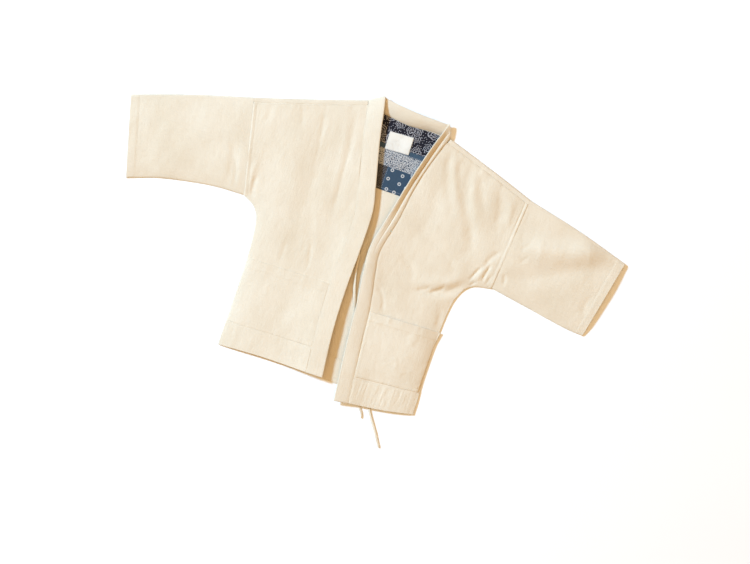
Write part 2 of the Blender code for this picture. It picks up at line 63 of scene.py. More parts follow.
# The two ties. Each is a narrow strip of the same cream cotton, folded in four and edge
# stitched, sewn under its front's edge and lying loose from there with its end turned in.
TIE_WIDTH = 0.0072
TIE_THICK = 0.003
TIE_SINK = 0.0008  # the flat strip lies this much lower than a round cord would
TIE_STEP = 0.003
TIE_ROUTES = {
    "right": [
        (0.006, -0.006, 0.0124), (0.018, -0.015, 0.0122), (0.023, -0.05, 0.011),
        (0.033, -0.09, 0.0085), (0.047, -0.13, 0.0052), (0.068, -0.19, 0.0043),
        (0.098, -0.248, 0.0048), (0.123, -0.28, 0.0057), (0.138, -0.334, 0.0056),
        (0.1455, -0.37, 0.0034), (0.156, -0.386, 0.0029), (0.161, -0.399, 0.0028),
    ],
    "left": [
        (0.09, -0.015, 0.006), (0.101, -0.05, 0.0044), (0.108, -0.11, 0.0043),
        (0.124, -0.18, 0.0043), (0.139, -0.248, 0.0047), (0.15, -0.28, 0.0057),
        (0.163, -0.335, 0.0056), (0.17, -0.368, 0.0034), (0.183, -0.39, 0.0029),
        (0.203, -0.418, 0.0028), (0.216, -0.438, 0.0028), (0.227, -0.454, 0.0028),
    ],
}
# How far the strip is turned about its own line, in degrees, at even steps along it
TIE_TURNS = {"right": (8, 30, -12, 10, -6, 14, -30), "left": (0, -10, 14, -8, 10, 34, -16)}


def cubic(a, b, c, d, t):
    """The Catmull-Rom curve from b to c at t from 0 to 1: a cubic whose slope is (c - a) / 2 at
    b and (d - b) / 2 at c."""
    return 0.5 * (2 * b + (c - a) * t + (2 * a - 5 * b + 4 * c - d) * t**2
                  + (3 * b - 3 * c + d - a) * t**3)


def smooth(rows, spacing):
    """Points of the cubic curve through the rows, about a given length apart."""
    rows = np.asarray(rows, float)
    knots = np.vstack([2 * rows[:1] - rows[1:2], rows, 2 * rows[-1:] - rows[-2:-1]])
    points = [rows[:1]]
    for a, b, c, d in zip(knots, knots[1:], knots[2:], knots[3:]):
        count = max(1, round(np.linalg.norm(c - b) / spacing))
        t = (np.arange(1, count + 1) / count)[:, None]
        points.append(cubic(a, b, c, d, t))
    return np.vstack(points)


def running(line):
    """Length of a line up to each of its points: the sum of the steps before it."""
    return np.concatenate([[0], np.cumsum(np.linalg.norm(np.diff(line, axis=0), axis=1))])


def even(line, count):
    """The points of a line at even lengths along it: each coordinate read off its running length."""
    run = running(line)
    at = np.linspace(0, run[-1], count)
    return np.column_stack([np.interp(at, run, column) for column in line.T])


def unit(vectors):
    return vectors / np.maximum(np.linalg.norm(vectors, axis=-1, keepdims=True), 1e-12)


def add_piece(name, points, quads, uv, look):
    """A mesh from whole arrays: points, faces by index, and a place on the cloth in metres for
    each face corner. If its signed volume is negative, the faces are turned round."""
    a, b, c, d = (points[quads[:, k]] for k in range(4))
    volume = (np.cross(a - c, b - d) * (a + b + c + d)).sum()
    if volume < 0:
        quads, uv = quads[:, ::-1], uv[:, ::-1]
    mesh = bpy.data.meshes.new(name)
    mesh.from_pydata(points.tolist(), [], quads.tolist())
    mesh.uv_layers.new(name="UVMap").data.foreach_set("uv", uv.ravel())
    mesh.materials.append(look)
    mesh.shade_smooth()
    mesh.set_sharp_from_angle(angle=np.radians(48))
    made = bpy.data.objects.new(name, mesh)
    bpy.context.scene.collection.objects.link(made)
    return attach(made, "root")


def closed(points):
    """The points of a ring, with the first once more at the end."""
    return np.concatenate([points, points[:1]])


def tube_faces(rings, around):
    """Faces between the rings of a tube, with the places in a grid one column wider than it."""
    i, j = np.meshgrid(np.arange(rings - 1), np.arange(around), indexing="ij")
    k = (j + 1) % around
    corners = np.stack([i * around + j, i * around + k, (i + 1) * around + k, (i + 1) * around + j])
    wide = around + 1
    places = np.stack([i * wide + j, i * wide + j + 1, (i + 1) * wide + j + 1, (i + 1) * wide + j])
    return corners.reshape(4, -1).T, places.reshape(4, -1).T


class Field:
    """A socket in a material, so that patterns are written as sums and products of values."""

    def __init__(self, tree, socket):
        self.tree = tree
        self.socket = socket

    def node(self, kind, settings=None, out=0, **sockets):
        """Any node: its settings, then its sockets' values or links, by name or by number."""
        made = self.tree.nodes.new(kind)
        for key, value in (settings or {}).items():
            setattr(made, key, value)
        for key, value in sockets.items():
            socket = made.inputs[int(key[1:]) if key[1:].isdigit() else key.replace("_", " ")]
            if isinstance(value, Field):
                self.tree.links.new(value.socket, socket)
            else:
                socket.default_value = value
        return Field(self.tree, made.outputs[out])

    def other(self, out):
        """Another output of the node that this value comes from."""
        return Field(self.tree, self.socket.node.outputs[out])

    def maths(self, operation, *values):
        sockets = {f"n{k}": value for k, value in enumerate(values)}
        return self.node("ShaderNodeMath", {"operation": operation}, **sockets)

    def __add__(self, other):
        return self.maths("ADD", self, other)

    def __sub__(self, other):
        return self.maths("SUBTRACT", self, other)

    def __rsub__(self, other):
        return self.maths("SUBTRACT", other, self)

    def __mul__(self, other):
        return self.maths("MULTIPLY", self, other)

    __radd__ = __add__
    __rmul__ = __mul__

    def step(self, low, high):
        """0 below low, 1 above high, and a smooth rise between them."""
        return self.node("ShaderNodeMapRange", {"interpolation_type": "SMOOTHSTEP"},
                         Value=self, From_Min=low, From_Max=high)

    def wave(self, length):
        """A sine of this value, with a given wavelength."""
        return self.maths("SINE", self * (2 * np.pi / length))

    def mix(self, a, b):
        """The colour a where this value is 0 and b where it is 1."""
        return self.node("ShaderNodeMix", {"data_type": "RGBA"}, 2, n0=self, n6=a, n7=b)

    def noise(self, u, v, fineness, detail=2.0):
        """Cloudy values from 0 to 1 over the cloth, with its own number of clouds a metre along
        and across."""
        at = self.node("ShaderNodeCombineXYZ", X=u * fineness[0], Y=v * fineness[1])
        return self.node("ShaderNodeTexNoise", {"noise_dimensions": "2D"},
                         Vector=at, Scale=1.0, Detail=detail, Roughness=0.55)


def rgb(red, green, blue):
    """A colour given as it looks on screen, from 0 to 255, in the linear values of the nodes."""
    levels = np.array([red, green, blue]) / 255
    linear = np.where(levels < 0.04045, levels / 12.92, ((levels + 0.055) / 1.055) ** 2.4)
    return (*linear.tolist(), 1.0)


def start_material(name):
    """A material with a Principled shader. Also its cloth coordinates u and v, in metres."""
    made = bpy.data.materials.new(name)
    made.use_nodes = True
    tree = made.node_tree
    shader = tree.nodes["Principled BSDF"]
    root = Field(tree, None)
    place = root.node("ShaderNodeUVMap", {"uv_map": "UVMap"})
    u = root.node("ShaderNodeSeparateXYZ", Vector=place)
    return made, shader, u, u.other(1)


def finish_material(shader, colour, roughness, bump, depth):
    """Links what varies over the surface, and gives cloth its faint sheen."""
    tree = shader.id_data
    tree.links.new(colour.socket, shader.inputs["Base Color"])
    tree.links.new(roughness.socket, shader.inputs["Roughness"])
    relief = colour.node("ShaderNodeBump", Height=bump, Distance=depth, Strength=1.0)
    tree.links.new(relief.socket, shader.inputs["Normal"])
    shader.inputs["Specular IOR Level"].default_value = 0.25


def cotton(name, light, shade, slubs=1.0):
    """Slubby plain cotton. Its colour drifts between two tones, a few thick yarns show as short
    streaks along the warp and the weft, and the relief adds yarns, fine crinkles and the weave,
    a product of two sines."""
    made, shader, u, v = start_material(name)
    drift = u.noise(u, v, (9, 7), 3.0)
    warp = u.noise(u, v, (420, 40), 2.0)
    weft = u.noise(u, v, (40, 460), 2.0)
    grain = u.noise(u, v, (800, 760), 2.0)
    crinkle = u.noise(u, v, (150, 110), 4.0)
    weave = u.wave(0.0012) * v.wave(0.0012)
    tone = drift * 0.7 + warp * (0.16 * slubs) + weft * (0.12 * slubs) + grain * 0.45
    colour = tone.step(0.45, 1.1).mix(light, shade)
    roughness = grain * 0.16 + 0.8
    bump = warp * (0.24 * slubs) + weft * (0.2 * slubs) + grain * 0.22 + crinkle * 0.3 + weave * 0.05
    finish_material(shader, colour, roughness, bump, 0.0015)
    shader.inputs["Sheen Weight"].default_value = 0.1
    shader.inputs["Sheen Roughness"].default_value = 0.6
    return made


tie_cotton = cotton("tie_cotton", rgb(235, 223, 201), rgb(224, 208, 182), 0.6)

for side, route in TIE_ROUTES.items():
    path = smooth(route, TIE_STEP)
    length = running(path)[-1]
    rings, around = len(path), 20
    share = np.linspace(0, 1, rings)
    turn = np.radians(np.interp(share, np.linspace(0, 1, 7), TIE_TURNS[side]))
    forward = unit(np.gradient(path, axis=0))
    level = unit(np.cross([0, 0, 1], forward))
    upward = np.cross(forward, level)
    wide = level * np.cos(turn)[:, None] + upward * np.sin(turn)[:, None]
    thick = upward * np.cos(turn)[:, None] - level * np.sin(turn)[:, None]
    # The section is a squared ellipse, narrowing along the tie and closed over its last 3 mm
    angle = np.arange(around) / around * 2 * np.pi
    flat_x = np.sign(np.cos(angle)) * np.abs(np.cos(angle)) ** 0.75 * TIE_WIDTH / 2
    flat_z = np.sign(np.sin(angle)) * np.abs(np.sin(angle)) ** 0.85 * TIE_THICK / 2
    from_end = np.minimum(share, 1 - share) * length
    size = (1.06 - 0.3 * share) * (1 - np.exp(-from_end / 0.0012) * 0.97)
    yarn = 1 + 0.05 * np.sin(share * length * 700)[:, None] * np.cos(2 * angle)
    points = (path[:, None] - [0, 0, TIE_SINK]
              + wide[:, None] * (flat_x * size[:, None] * yarn)[..., None]
              + thick[:, None] * (flat_z * size[:, None])[..., None])
    quads, places = tube_faces(rings, around)
    uv = np.stack(np.meshgrid(share * length, np.arange(around + 1) * 0.0009, indexing="ij"), -1)
    ends = np.vstack([points[0].mean(0), points[-1].mean(0)])
    j = np.arange(0, around, 2)
    caps = [np.column_stack([np.full(len(j), rings * around + end), first + (j + 2) % around,
                             first + j + 1, first + j])[:, ::turned]
            for end, first, turned in ((0, 0, 1), (1, (rings - 1) * around, -1))]
    points = np.vstack([points.reshape(-1, 3), ends])
    uv = np.vstack([uv.reshape(-1, 2)[places], np.zeros((2 * len(j), 4, 2))])
    tie = add_piece(f"tie_strip_{side}", points, np.vstack([quads, *caps]), uv, tie_cotton)
    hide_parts(f"tie_{side}")


# The studio. A white board under a cool lamp at the upper left, a wide warm cloth overhead with
# a light behind it, and pale warm walls, so that shadows stay light and turn golden.
LAMP_FROM = (-0.754, 0.171, 0.629)
LAMP_DISTANCE = 12.0
LAMP_WIDTH = 1.9
LAMP_POWER = 2000.0
LAMP_COLOUR = (0.38, 0.68, 1.0)
OVERHEAD_HEIGHT = 11.0
OVERHEAD_WIDTH = 13.0
OVERHEAD_POWER = 600.0
WARM = (1.0, 0.69, 0.375)
ROOM_LIGHT = 0.45
BOARD_HALF = 14.0
BOARD_TOP = -0.0006  # just under the garment, so that the two faces don't flicker
BOARD_WHITES = [(0.93, 0.93, 0.93, 1), (0.96, 0.96, 0.955, 1)]


def add_disk_light(name, place, width, power, colour):
    """A round lamp at a place, facing the origin: its axes are that direction and two square
    to it."""
    lamp = bpy.data.lights.new(name, "AREA")
    lamp.shape = "DISK"
    lamp.size = width
    lamp.energy = power
    lamp.color = colour
    made = bpy.data.objects.new(name, lamp)
    z_axis = unit(place)
    x_axis = unit(np.cross([0, 1, 0], z_axis))
    axes = np.column_stack([x_axis, np.cross(z_axis, x_axis), z_axis])
    made.matrix_world = Matrix.Translation(place.tolist()) @ Matrix(axes.tolist()).to_4x4()
    bpy.context.scene.collection.objects.link(made)


add_disk_light("soft_lamp", unit(np.array(LAMP_FROM)) * LAMP_DISTANCE, LAMP_WIDTH, LAMP_POWER, LAMP_COLOUR)
add_disk_light("lit_cloth", np.array([0.0, 0.0, OVERHEAD_HEIGHT]), OVERHEAD_WIDTH, OVERHEAD_POWER, WARM)

world = bpy.data.worlds.new("pale_room")
world.use_nodes = True
world.node_tree.nodes["Background"].inputs["Color"].default_value = (*WARM, 1)
world.node_tree.nodes["Background"].inputs["Strength"].default_value = ROOM_LIGHT
bpy.context.scene.world = world
bpy.context.scene.view_settings.view_transform = "Standard"

floor_mesh = bpy.data.meshes.new("white_board")
corners = [(x * BOARD_HALF, y * BOARD_HALF, BOARD_TOP) for x, y in ((-1, -1), (1, -1), (1, 1), (-1, 1))]
floor_mesh.from_pydata(corners, [], [(0, 1, 2, 3)])
board = bpy.data.materials.new("white_board")
board.use_nodes = True
board_shader = board.node_tree.nodes["Principled BSDF"]
board_place = Field(board.node_tree, None).node("ShaderNodeTexCoord", out=3)
mottle = board_place.node("ShaderNodeTexNoise", Vector=board_place, Scale=3.0, Detail=3.0)
board_colour = mottle.mix(*BOARD_WHITES)
board.node_tree.links.new(board_colour.socket, board_shader.inputs["Base Color"])
board_shader.inputs["Roughness"].default_value = 0.9
floor_mesh.materials.append(board)
floor = bpy.data.objects.new("white_board", floor_mesh)
bpy.context.scene.collection.objects.link(floor)


# The back. One panel of cream cotton from side seam to side seam, lying flat on the board. Its
# shoulders turn over to the front and end at the shoulder seams; its hem is turned up inside.
CLOTH = 0.0014
GAP = 0.0003
FOLD_RADIUS = 0.0045  # outer radius of the fold along the shoulders and sleeve tops
SEAM_FORWARD = 0.012  # the shoulder seam lies this far in front of the fold
NECK_SLANT = {"right": 0.15, "left": -0.4}  # and its neck end moves sideways by this share
PLATEAU = 0.0105  # height of the upper layer, away from its edges
SEAM_REACH = 0.03  # the upper layer leaves a side seam over about this length
FOLD_REACH = 0.04  # and a fold over this
SEAM_FADE = 0.006  # creases fade out over this length from a side seam
FOLD_FADE = 0.008  # from a fold over this
CHANNEL_FADE = 0.03  # and the channels under the garment over this
BROAD = 0.0011  # height of the broad unevenness of the upper layer
FRONT_LIFT = 0.0155  # the right front's edge stands this much higher at the hem
LIFT_REACH = 0.07
LIFT_SPAN = (0.31, -0.34)  # y at which that lift starts and is full

# Curves seen from above, through rows of (x, y) from the neck or the underarm outwards
SHOULDER = {
    "right": [(-0.088, 0.357), (-0.243, 0.305), (-0.36, 0.268)],
    "left": [(0.137, 0.334), (0.273, 0.291), (0.376, 0.256)],
}
SLEEVE_TOP = {
    "right": [(-0.36, 0.268), (-0.509, 0.223), (-0.6515, 0.173)],
    "left": [(0.376, 0.256), (0.52, 0.223), (0.6515, 0.185)],
}
SLEEVE_LOW = {
    "right": [(-0.303, 0.03), (-0.396, 0.024), (-0.515, 0.0), (-0.594, -0.028)],
    "left": [(0.359, 0.016), (0.465, -0.001), (0.558, -0.016), (0.611, -0.02)],
}
SIDE = {
    "right": [
        (-0.303, 0.03), (-0.27, 0.011), (-0.252, -0.024), (-0.243, -0.104),
        (-0.2405, -0.2), (-0.239, -0.343),
    ],
    "left": [
        (0.359, 0.016), (0.309, 0.003), (0.283, -0.034), (0.273, -0.099),
        (0.272, -0.222), (0.279, -0.346),
    ],
}
BACK_HEM = [(-0.239, -0.3435), (0.034, -0.338), (0.279, -0.346)]
NECK = [(-0.085, 0.3525), (-0.044, 0.3387), (0.027, 0.3307), (0.085, 0.3347), (0.131, 0.333)]

# The right front's free edge, from the hem to the neck, from which the front's lift is measured
RIGHT_FREE = [(0.033, -0.334), (0.02, -0.219), (0.0145, -0.111), (0.0165, -0.012),
              (0.0145, 0.092), (0.001, 0.155), (-0.028, 0.268), (-0.043, 0.341)]

# Folds and creases of the upper layer. Columns: start x, y; end x, y; how far the middle bends
# sideways; height, negative for a trough; half width
CREASES = [
    # right front: long soft drag lines from the shoulder with a crisp line in each, and a short
    # sharp one below them
    (-0.183, 0.31, -0.15, 0.03, 0.01, -0.0013, 0.011),
    (-0.183, 0.31, -0.1565, 0.092, 0.004, -0.0004, 0.004),
    (-0.171, 0.306, -0.16, 0.09, 0.006, 0.0008, 0.008),
    (-0.11, 0.33, -0.079, 0.04, 0.008, -0.0012, 0.011),
    (-0.107, 0.338, -0.08, 0.062, 0.004, -0.0004, 0.004),
    (-0.124, 0.3, -0.096, 0.12, 0.005, 0.0008, 0.009),
    (-0.135, 0.11, -0.112, -0.02, -0.006, -0.0008, 0.012),
    (-0.107, -0.022, -0.091, -0.098, 0.003, -0.001, 0.005),
    (-0.166, -0.04, -0.164, -0.1, 0.002, -0.0008, 0.006),
    (-0.205, 0.18, -0.178, -0.09, 0.01, 0.001, 0.024),
    (-0.312, 0.266, -0.309, 0.222, 0.002, -0.0008, 0.007),
    (-0.236, 0.286, -0.226, 0.24, 0.002, -0.001, 0.007),
    (-0.288, 0.09, -0.281, 0.026, -0.004, -0.002, 0.007),
    (-0.3, 0.12, -0.293, 0.04, -0.002, 0.0014, 0.007),
    (-0.09, -0.21, -0.094, -0.262, 0.004, 0.0009, 0.014),
    (-0.2, -0.06, -0.15, -0.135, -0.008, -0.0008, 0.016),
    (-0.065, 0.18, -0.062, 0.06, 0.004, 0.0006, 0.014),
    # left front: soft folds that hang from the shoulder seam
    (0.147, 0.305, 0.2, 0.165, -0.008, -0.0019, 0.012),
    (0.164, 0.3, 0.211, 0.19, -0.006, 0.0015, 0.011),
    (0.179, 0.294, 0.228, 0.178, -0.008, -0.002, 0.012),
    (0.205, 0.284, 0.282, 0.096, -0.01, -0.0027, 0.015),
    (0.224, 0.276, 0.268, 0.16, -0.008, 0.0015, 0.012),
    (0.24, 0.276, 0.282, 0.19, -0.006, -0.0018, 0.0115),
    (0.296, 0.252, 0.318, 0.168, 0.006, -0.0022, 0.012),
    (0.33, 0.236, 0.342, 0.176, 0.004, 0.0013, 0.008),
    (0.15, 0.23, 0.135, 0.06, 0.012, -0.0014, 0.016),
    (0.262, 0.15, 0.27, 0.06, 0.004, -0.0012, 0.016),
    # left underarm: short sharp folds from the armhole towards the corner, and a broad one that
    # runs on over the body
    (0.35, 0.11, 0.322, 0.06, -0.004, -0.0022, 0.006),
    (0.338, 0.069, 0.33, 0.025, -0.001, -0.0032, 0.0034),
    (0.316, 0.055, 0.3, 0.017, -0.001, -0.0034, 0.0036),
    (0.327, 0.06, 0.316, 0.022, -0.001, 0.0014, 0.0042),
    (0.315, 0.02, 0.306, 0.003, 0.0, -0.003, 0.0034),
    (0.348, 0.046, 0.342, 0.02, 0.0, -0.0022, 0.0034),
    (0.292, 0.0, 0.184, -0.05, 0.012, -0.0048, 0.012),
    (0.286, 0.018, 0.196, -0.02, 0.01, 0.002, 0.013),
    (0.248, -0.018, 0.214, -0.046, 0.003, -0.0026, 0.005),
    (0.214, -0.03, 0.18, -0.052, 0.002, -0.0018, 0.005),
    # left front below: a bent crease from the band to the pocket, and loose cloth at the side
    (0.084, -0.07, 0.12, -0.132, 0.01, -0.0014, 0.006),
    (0.12, -0.03, 0.15, -0.12, 0.01, 0.0012, 0.018),
    (0.25, -0.07, 0.262, -0.124, 0.004, -0.0014, 0.008),
    (0.16, 0.08, 0.262, 0.026, 0.008, -0.0016, 0.012),
    (0.118, 0.02, 0.168, -0.03, 0.008, -0.0014, 0.01),
    # right sleeve: nearly smooth
    (-0.43, 0.19, -0.5, 0.06, 0.01, 0.001, 0.026),
    (-0.372, 0.15, -0.352, 0.05, 0.004, -0.0014, 0.01),
    (-0.352, 0.11, -0.336, 0.05, 0.003, -0.0015, 0.0055),
    (-0.56, 0.15, -0.575, 0.02, 0.006, -0.0008, 0.018),
    # left sleeve: a shallow slanting trough, the broad ridge above it, and short crosswise
    # creases near the armhole
    (0.592, 0.16, 0.376, 0.052, 0.01, -0.003, 0.022),
    (0.604, 0.196, 0.396, 0.138, 0.008, 0.0112, 0.029),
    (0.398, 0.132, 0.412, 0.15, 0.001, -0.001, 0.005),
    (0.404, 0.098, 0.42, 0.122, 0.001, -0.001, 0.005),
    (0.376, 0.06, 0.384, 0.036, 0.001, -0.002, 0.0045),
    (0.592, 0.03, 0.6, 0.08, 0.003, -0.001, 0.007),
]

# The same on the side that lies on the board, where the cloth lifts off it in shallow channels
UNDER_CREASES = [
    (-0.16, 0.27, -0.12, -0.12, 0.02, 0.0013, 0.012),
    (0.2, 0.23, 0.15, -0.06, -0.015, 0.0014, 0.011),
    (0.02, 0.2, 0.06, -0.2, 0.012, 0.0009, 0.016),
    (-0.07, -0.14, -0.15, -0.26, 0.008, 0.0012, 0.012),
    (0.23, -0.08, 0.12, -0.17, 0.01, 0.0015, 0.01),
    (-0.27, 0.12, -0.18, 0.02, 0.01, 0.0014, 0.01),
    (0.3, 0.1, 0.22, 0.03, 0.01, 0.0014, 0.01),
    (-0.43, 0.17, -0.53, 0.06, 0.01, 0.0012, 0.014),
    (0.56, 0.14, 0.43, 0.05, 0.01, 0.0014, 0.014),
    (0.47, 0.19, 0.5, 0.11, 0.004, 0.0009, 0.01),
]


def bell(values, width):
    """1 where a value is 0, falling off on both sides: e to the power of -(value / width)^2."""
    return np.exp(-((values / width) ** 2))


def step_down(values, width):
    """1 below 0 and 0 above it: the logistic curve 1 / (1 + e^(value / width)), as a tanh."""
    return 0.5 - 0.5 * np.tanh(values / (2 * width))


def distance(points, line):
    """Distance from each point (x, y) to a polyline: the least of those to its segments."""
    start = line[:-1]
    step = line[1:] - line[:-1]
    offset = points[..., None, :] - start
    along = np.clip((offset * step).sum(-1) / np.maximum((step**2).sum(-1), 1e-12), 0, 1)
    return np.linalg.norm(offset - along[..., None] * step, axis=-1).min(-1)


LOW_EDGES = [smooth(rows[side], 0.02) for rows in (SIDE, SLEEVE_LOW) for side in rows]
TOP_EDGES = [smooth(rows[side], 0.02) for rows in (SHOULDER, SLEEVE_TOP) for side in rows]
RIGHT_EDGE = smooth(RIGHT_FREE, 0.02)


def creased(points, table):
    """Sum of the folds at each point: a bell curve of the distance to each fold's bent line,
    fading over the line's ends."""
    height = np.zeros(points.shape[:-1])
    for x0, y0, x1, y1, bend, rise, half_width in table:
        start, end = np.array([x0, y0]), np.array([x1, y1])
        t = np.linspace(0, 1, 7)[:, None]
        sideways = np.array([y0 - y1, x1 - x0]) / np.hypot(x1 - x0, y1 - y0)
        line = start + (end - start) * t + sideways * bend * np.sin(np.pi * t)
        share = ((points - start) @ (end - start)) / ((end - start) ** 2).sum()
        ends = np.clip(np.sin(np.pi * np.clip(share, 0, 1)) * 1.6, 0, 1) * 0.75 + 0.25
        away = distance(points, line)
        height += rise * ends * bell(away, half_width)
    return height


def crumple(points, size, seed):
    """Uneven values from -1 to 1: random numbers at the corners of cells of a given size, joined
    by cubic steps."""
    table = np.random.default_rng(seed).uniform(-1, 1, (64, 64))
    at = points / size + 500
    cell = np.floor(at).astype(int)
    part = (at - cell) ** 2 * (3 - 2 * (at - cell))
    i, j = cell[..., 0] % 64, cell[..., 1] % 64
    k, m = (i + 1) % 64, (j + 1) % 64
    low = table[i, j] + (table[k, j] - table[i, j]) * part[..., 0]
    high = table[i, m] + (table[k, m] - table[i, m]) * part[..., 0]
    return low + (high - low) * part[..., 1]


def rumpled(points):
    """The unevenness of washed cotton: crumples of three sizes, longer along the warp."""
    return (0.00036 * crumple(points, (0.021, 0.047), 3)
            + 0.00022 * crumple(points, (0.009, 0.023), 4)
            + 0.00007 * crumple(points, (0.0055, 0.0075), 5))


def under(points):
    """Height of the lowest surface over the board: its channels and a little crumpling, all
    fading out at the outer edges."""
    edge = np.min([distance(points, line) for line in LOW_EDGES + TOP_EDGES], axis=0)
    lifted = creased(points, UNDER_CREASES) + np.maximum(rumpled(points), 0) * 0.8
    return lifted * (1 - bell(edge, CHANNEL_FADE))


def lie(points):
    """Height of the upper layer's lower side at each point (x, y).

    A plateau that falls to the fold's height along shoulders and sleeve tops and to the lower
    layer along the side seams, both exponentially. The right front's edge rises towards the
    hem, as a bell curve of the distance to it. Creases, crumples and a broad unevenness are
    added, fading out at the outer edges, and never reach the layer below.
    """
    low = np.min([distance(points, line) for line in LOW_EDGES], axis=0)
    top = np.min([distance(points, line) for line in TOP_EDGES], axis=0)
    neck_end, hem_end = LIFT_SPAN
    towards_hem = np.clip((neck_end - points[..., 1]) / (neck_end - hem_end), 0, 1)
    lift = FRONT_LIFT * towards_hem * bell(distance(points, RIGHT_EDGE), LIFT_REACH)
    fold_top = 2 * FOLD_RADIUS - CLOTH
    past_fold = np.maximum(top - FOLD_RADIUS, 0)
    height = fold_top + (PLATEAU + lift - fold_top) * (1 - np.exp(-past_fold / FOLD_REACH))
    seam_top = CLOTH + GAP
    height = seam_top + (height - seam_top) * (1 - np.exp(-low / SEAM_REACH))
    fade = (1 - np.exp(-low / SEAM_FADE)) * (1 - np.exp(-past_fold / FOLD_FADE))
    broad = BROAD * crumple(points, (0.055, 0.1), 6)
    laid = height + fade * (creased(points, CREASES) + rumpled(points) + broad)
    return np.maximum(laid, under(points) + seam_top + 0.0002)


def steepness(points):
    """How much longer a vertical step through sloping cloth is than the cloth is thick."""
    step = 1e-3
    dx = (lie(points + [step, 0]) - lie(points - [step, 0])) / (2 * step)
    dy = (lie(points + [0, step]) - lie(points - [0, step])) / (2 * step)
    return np.sqrt(1 + dx**2 + dy**2)


def armhole_x(side, y):
    """x of the straight armhole seam at the height y."""
    (x1, y1), (x0, y0) = SHOULDER[side][-1], SIDE[side][0]
    return x0 + (x1 - x0) * (y - y0) / (y1 - y0)


def shoulder_line(x):
    """y where the cloth starts to turn over at the shoulder."""
    right, left = (smooth(SHOULDER[side], 0.02) for side in ("right", "left"))
    rows = np.vstack([right[::-1], left])
    return np.interp(x, rows[:, 0], rows[:, 1]) - FOLD_RADIUS


def between(low, high, left, right):
    """A grid of points between four edge lines: the sum of both ways of ruling straight lines
    across, less the blend of the four corners. low and high run from left to right."""
    u = np.linspace(0, 1, len(low))[None, :, None]
    v = np.linspace(0, 1, len(left))[:, None, None]
    ruled = (1 - v) * low[None] + v * high[None] + (1 - u) * left[:, None] + u * right[:, None]
    return ruled - ((1 - v) * ((1 - u) * low[0] + u * low[-1])
                    + v * ((1 - u) * high[0] + u * high[-1]))


def patch(low, high, across, up):
    """A grid between a lower and an upper line, straight at both sides."""
    return between(even(low, across), even(high, across), even(np.array([low[0], high[0]]), up),
                   even(np.array([low[-1], high[-1]]), up))


def grid_faces(index):
    """Faces of a grid of point numbers, anticlockwise where the columns run to the right."""
    corners = [index[:-1, :-1], index[:-1, 1:], index[1:, 1:], index[1:, :-1]]
    return np.stack([c.ravel() for c in corners], axis=1)


def add_wall(name, lower, upper, quads, places, look):
    """A closed wall of cloth between two like sets of points, with rounded edges: an extra line
    of points half way up each edge stands out by a third of the cloth's thickness."""
    count = len(lower)
    ends = np.stack([quads, np.roll(quads, -1, axis=1)], axis=2).reshape(-1, 2)
    keys = ends[:, 0] * count + ends[:, 1]
    edge = ends[~np.isin(keys, ends[:, 1] * count + ends[:, 0])]
    used, place_in_rim = np.unique(edge, return_inverse=True)
    place_in_rim = place_in_rim.reshape(edge.shape)
    # Outwards is square to the edge's two directions at each point of the rim
    middle = (lower + upper) / 2
    run = middle[edge[:, 1]] - middle[edge[:, 0]]
    out = unit(np.cross(run, (upper - lower)[edge[:, 0]]))
    push = np.zeros((len(used), 3))
    np.add.at(push, place_in_rim[:, 0], out)
    np.add.at(push, place_in_rim[:, 1], out)
    thick = np.linalg.norm((upper - lower)[used], axis=1, keepdims=True)
    bulge = middle[used] + unit(push) * thick * 0.33
    rim = place_in_rim + 2 * count
    a, b = edge.T
    c, d = rim.T
    faces = np.vstack([quads[:, ::-1], quads + count,
                       np.column_stack([a, b, d, c]), np.column_stack([c, d, b + count, a + count])])
    at = places[np.concatenate([np.arange(count), np.arange(count), used])]
    return add_piece(name, np.vstack([lower, upper, bulge]), faces, at[faces], look)


def at_height(points, height):
    return np.concatenate([points, np.broadcast_to(height, points.shape[:-1])[..., None]], -1)


def add_cloth(name, flat, lower_z, upper_z, look, places=None):
    """A wall of cloth over a grid of points (x, y), between two heights at each."""
    sides = [at_height(flat, z).reshape(-1, 3) for z in (lower_z, upper_z)]
    index = np.arange(flat[..., 0].size).reshape(flat.shape[:2])
    places = flat if places is None else places
    return add_wall(name, *sides, grid_faces(index), places.reshape(-1, 2), look)


body_cotton = cotton("body_cotton", rgb(235, 223, 202), rgb(224, 209, 184))

SHOULDER_ENDS = {"right": -0.0878, "left": 0.1372}  # x where the shoulders' folds end at the neck
turn = np.pi * FOLD_RADIUS  # length of cloth in the half circle of the fold
laid_past = np.linspace(0.0025, SEAM_FORWARD - FOLD_RADIUS, 4)
wrap_past = np.concatenate([np.linspace(0, turn, 13), turn + laid_past])


def side_line(side, count_side, count_arm):
    """Edge of a panel from the hem up the side seam and the armhole seam to the shoulder line."""
    y = np.linspace(SIDE[side][0][1], shoulder_line(SHOULDER[side][-1][0]), count_arm)
    seam = even(smooth(SIDE[side], 0.006)[::-1], count_side)
    return np.vstack([seam, np.column_stack([armhole_x(side, y), y])[1:]])


right_x = np.linspace(armhole_x("right", shoulder_line(-0.36)), SHOULDER_ENDS["right"], 70)
left_x = np.linspace(SHOULDER_ENDS["left"], armhole_x("left", shoulder_line(0.376)), 62)
top_edge = np.vstack([
    np.column_stack([right_x, shoulder_line(right_x)]),
    even(smooth(NECK, 0.006), 56),
    np.column_stack([left_x, shoulder_line(left_x)]),
])
back_left, back_right = side_line("right", 92, 56), side_line("left", 92, 56)
back_hem = even(smooth(BACK_HEM, 0.01), len(top_edge))
flat = between(back_hem, top_edge, back_left, back_right)
flat_z = under(flat)


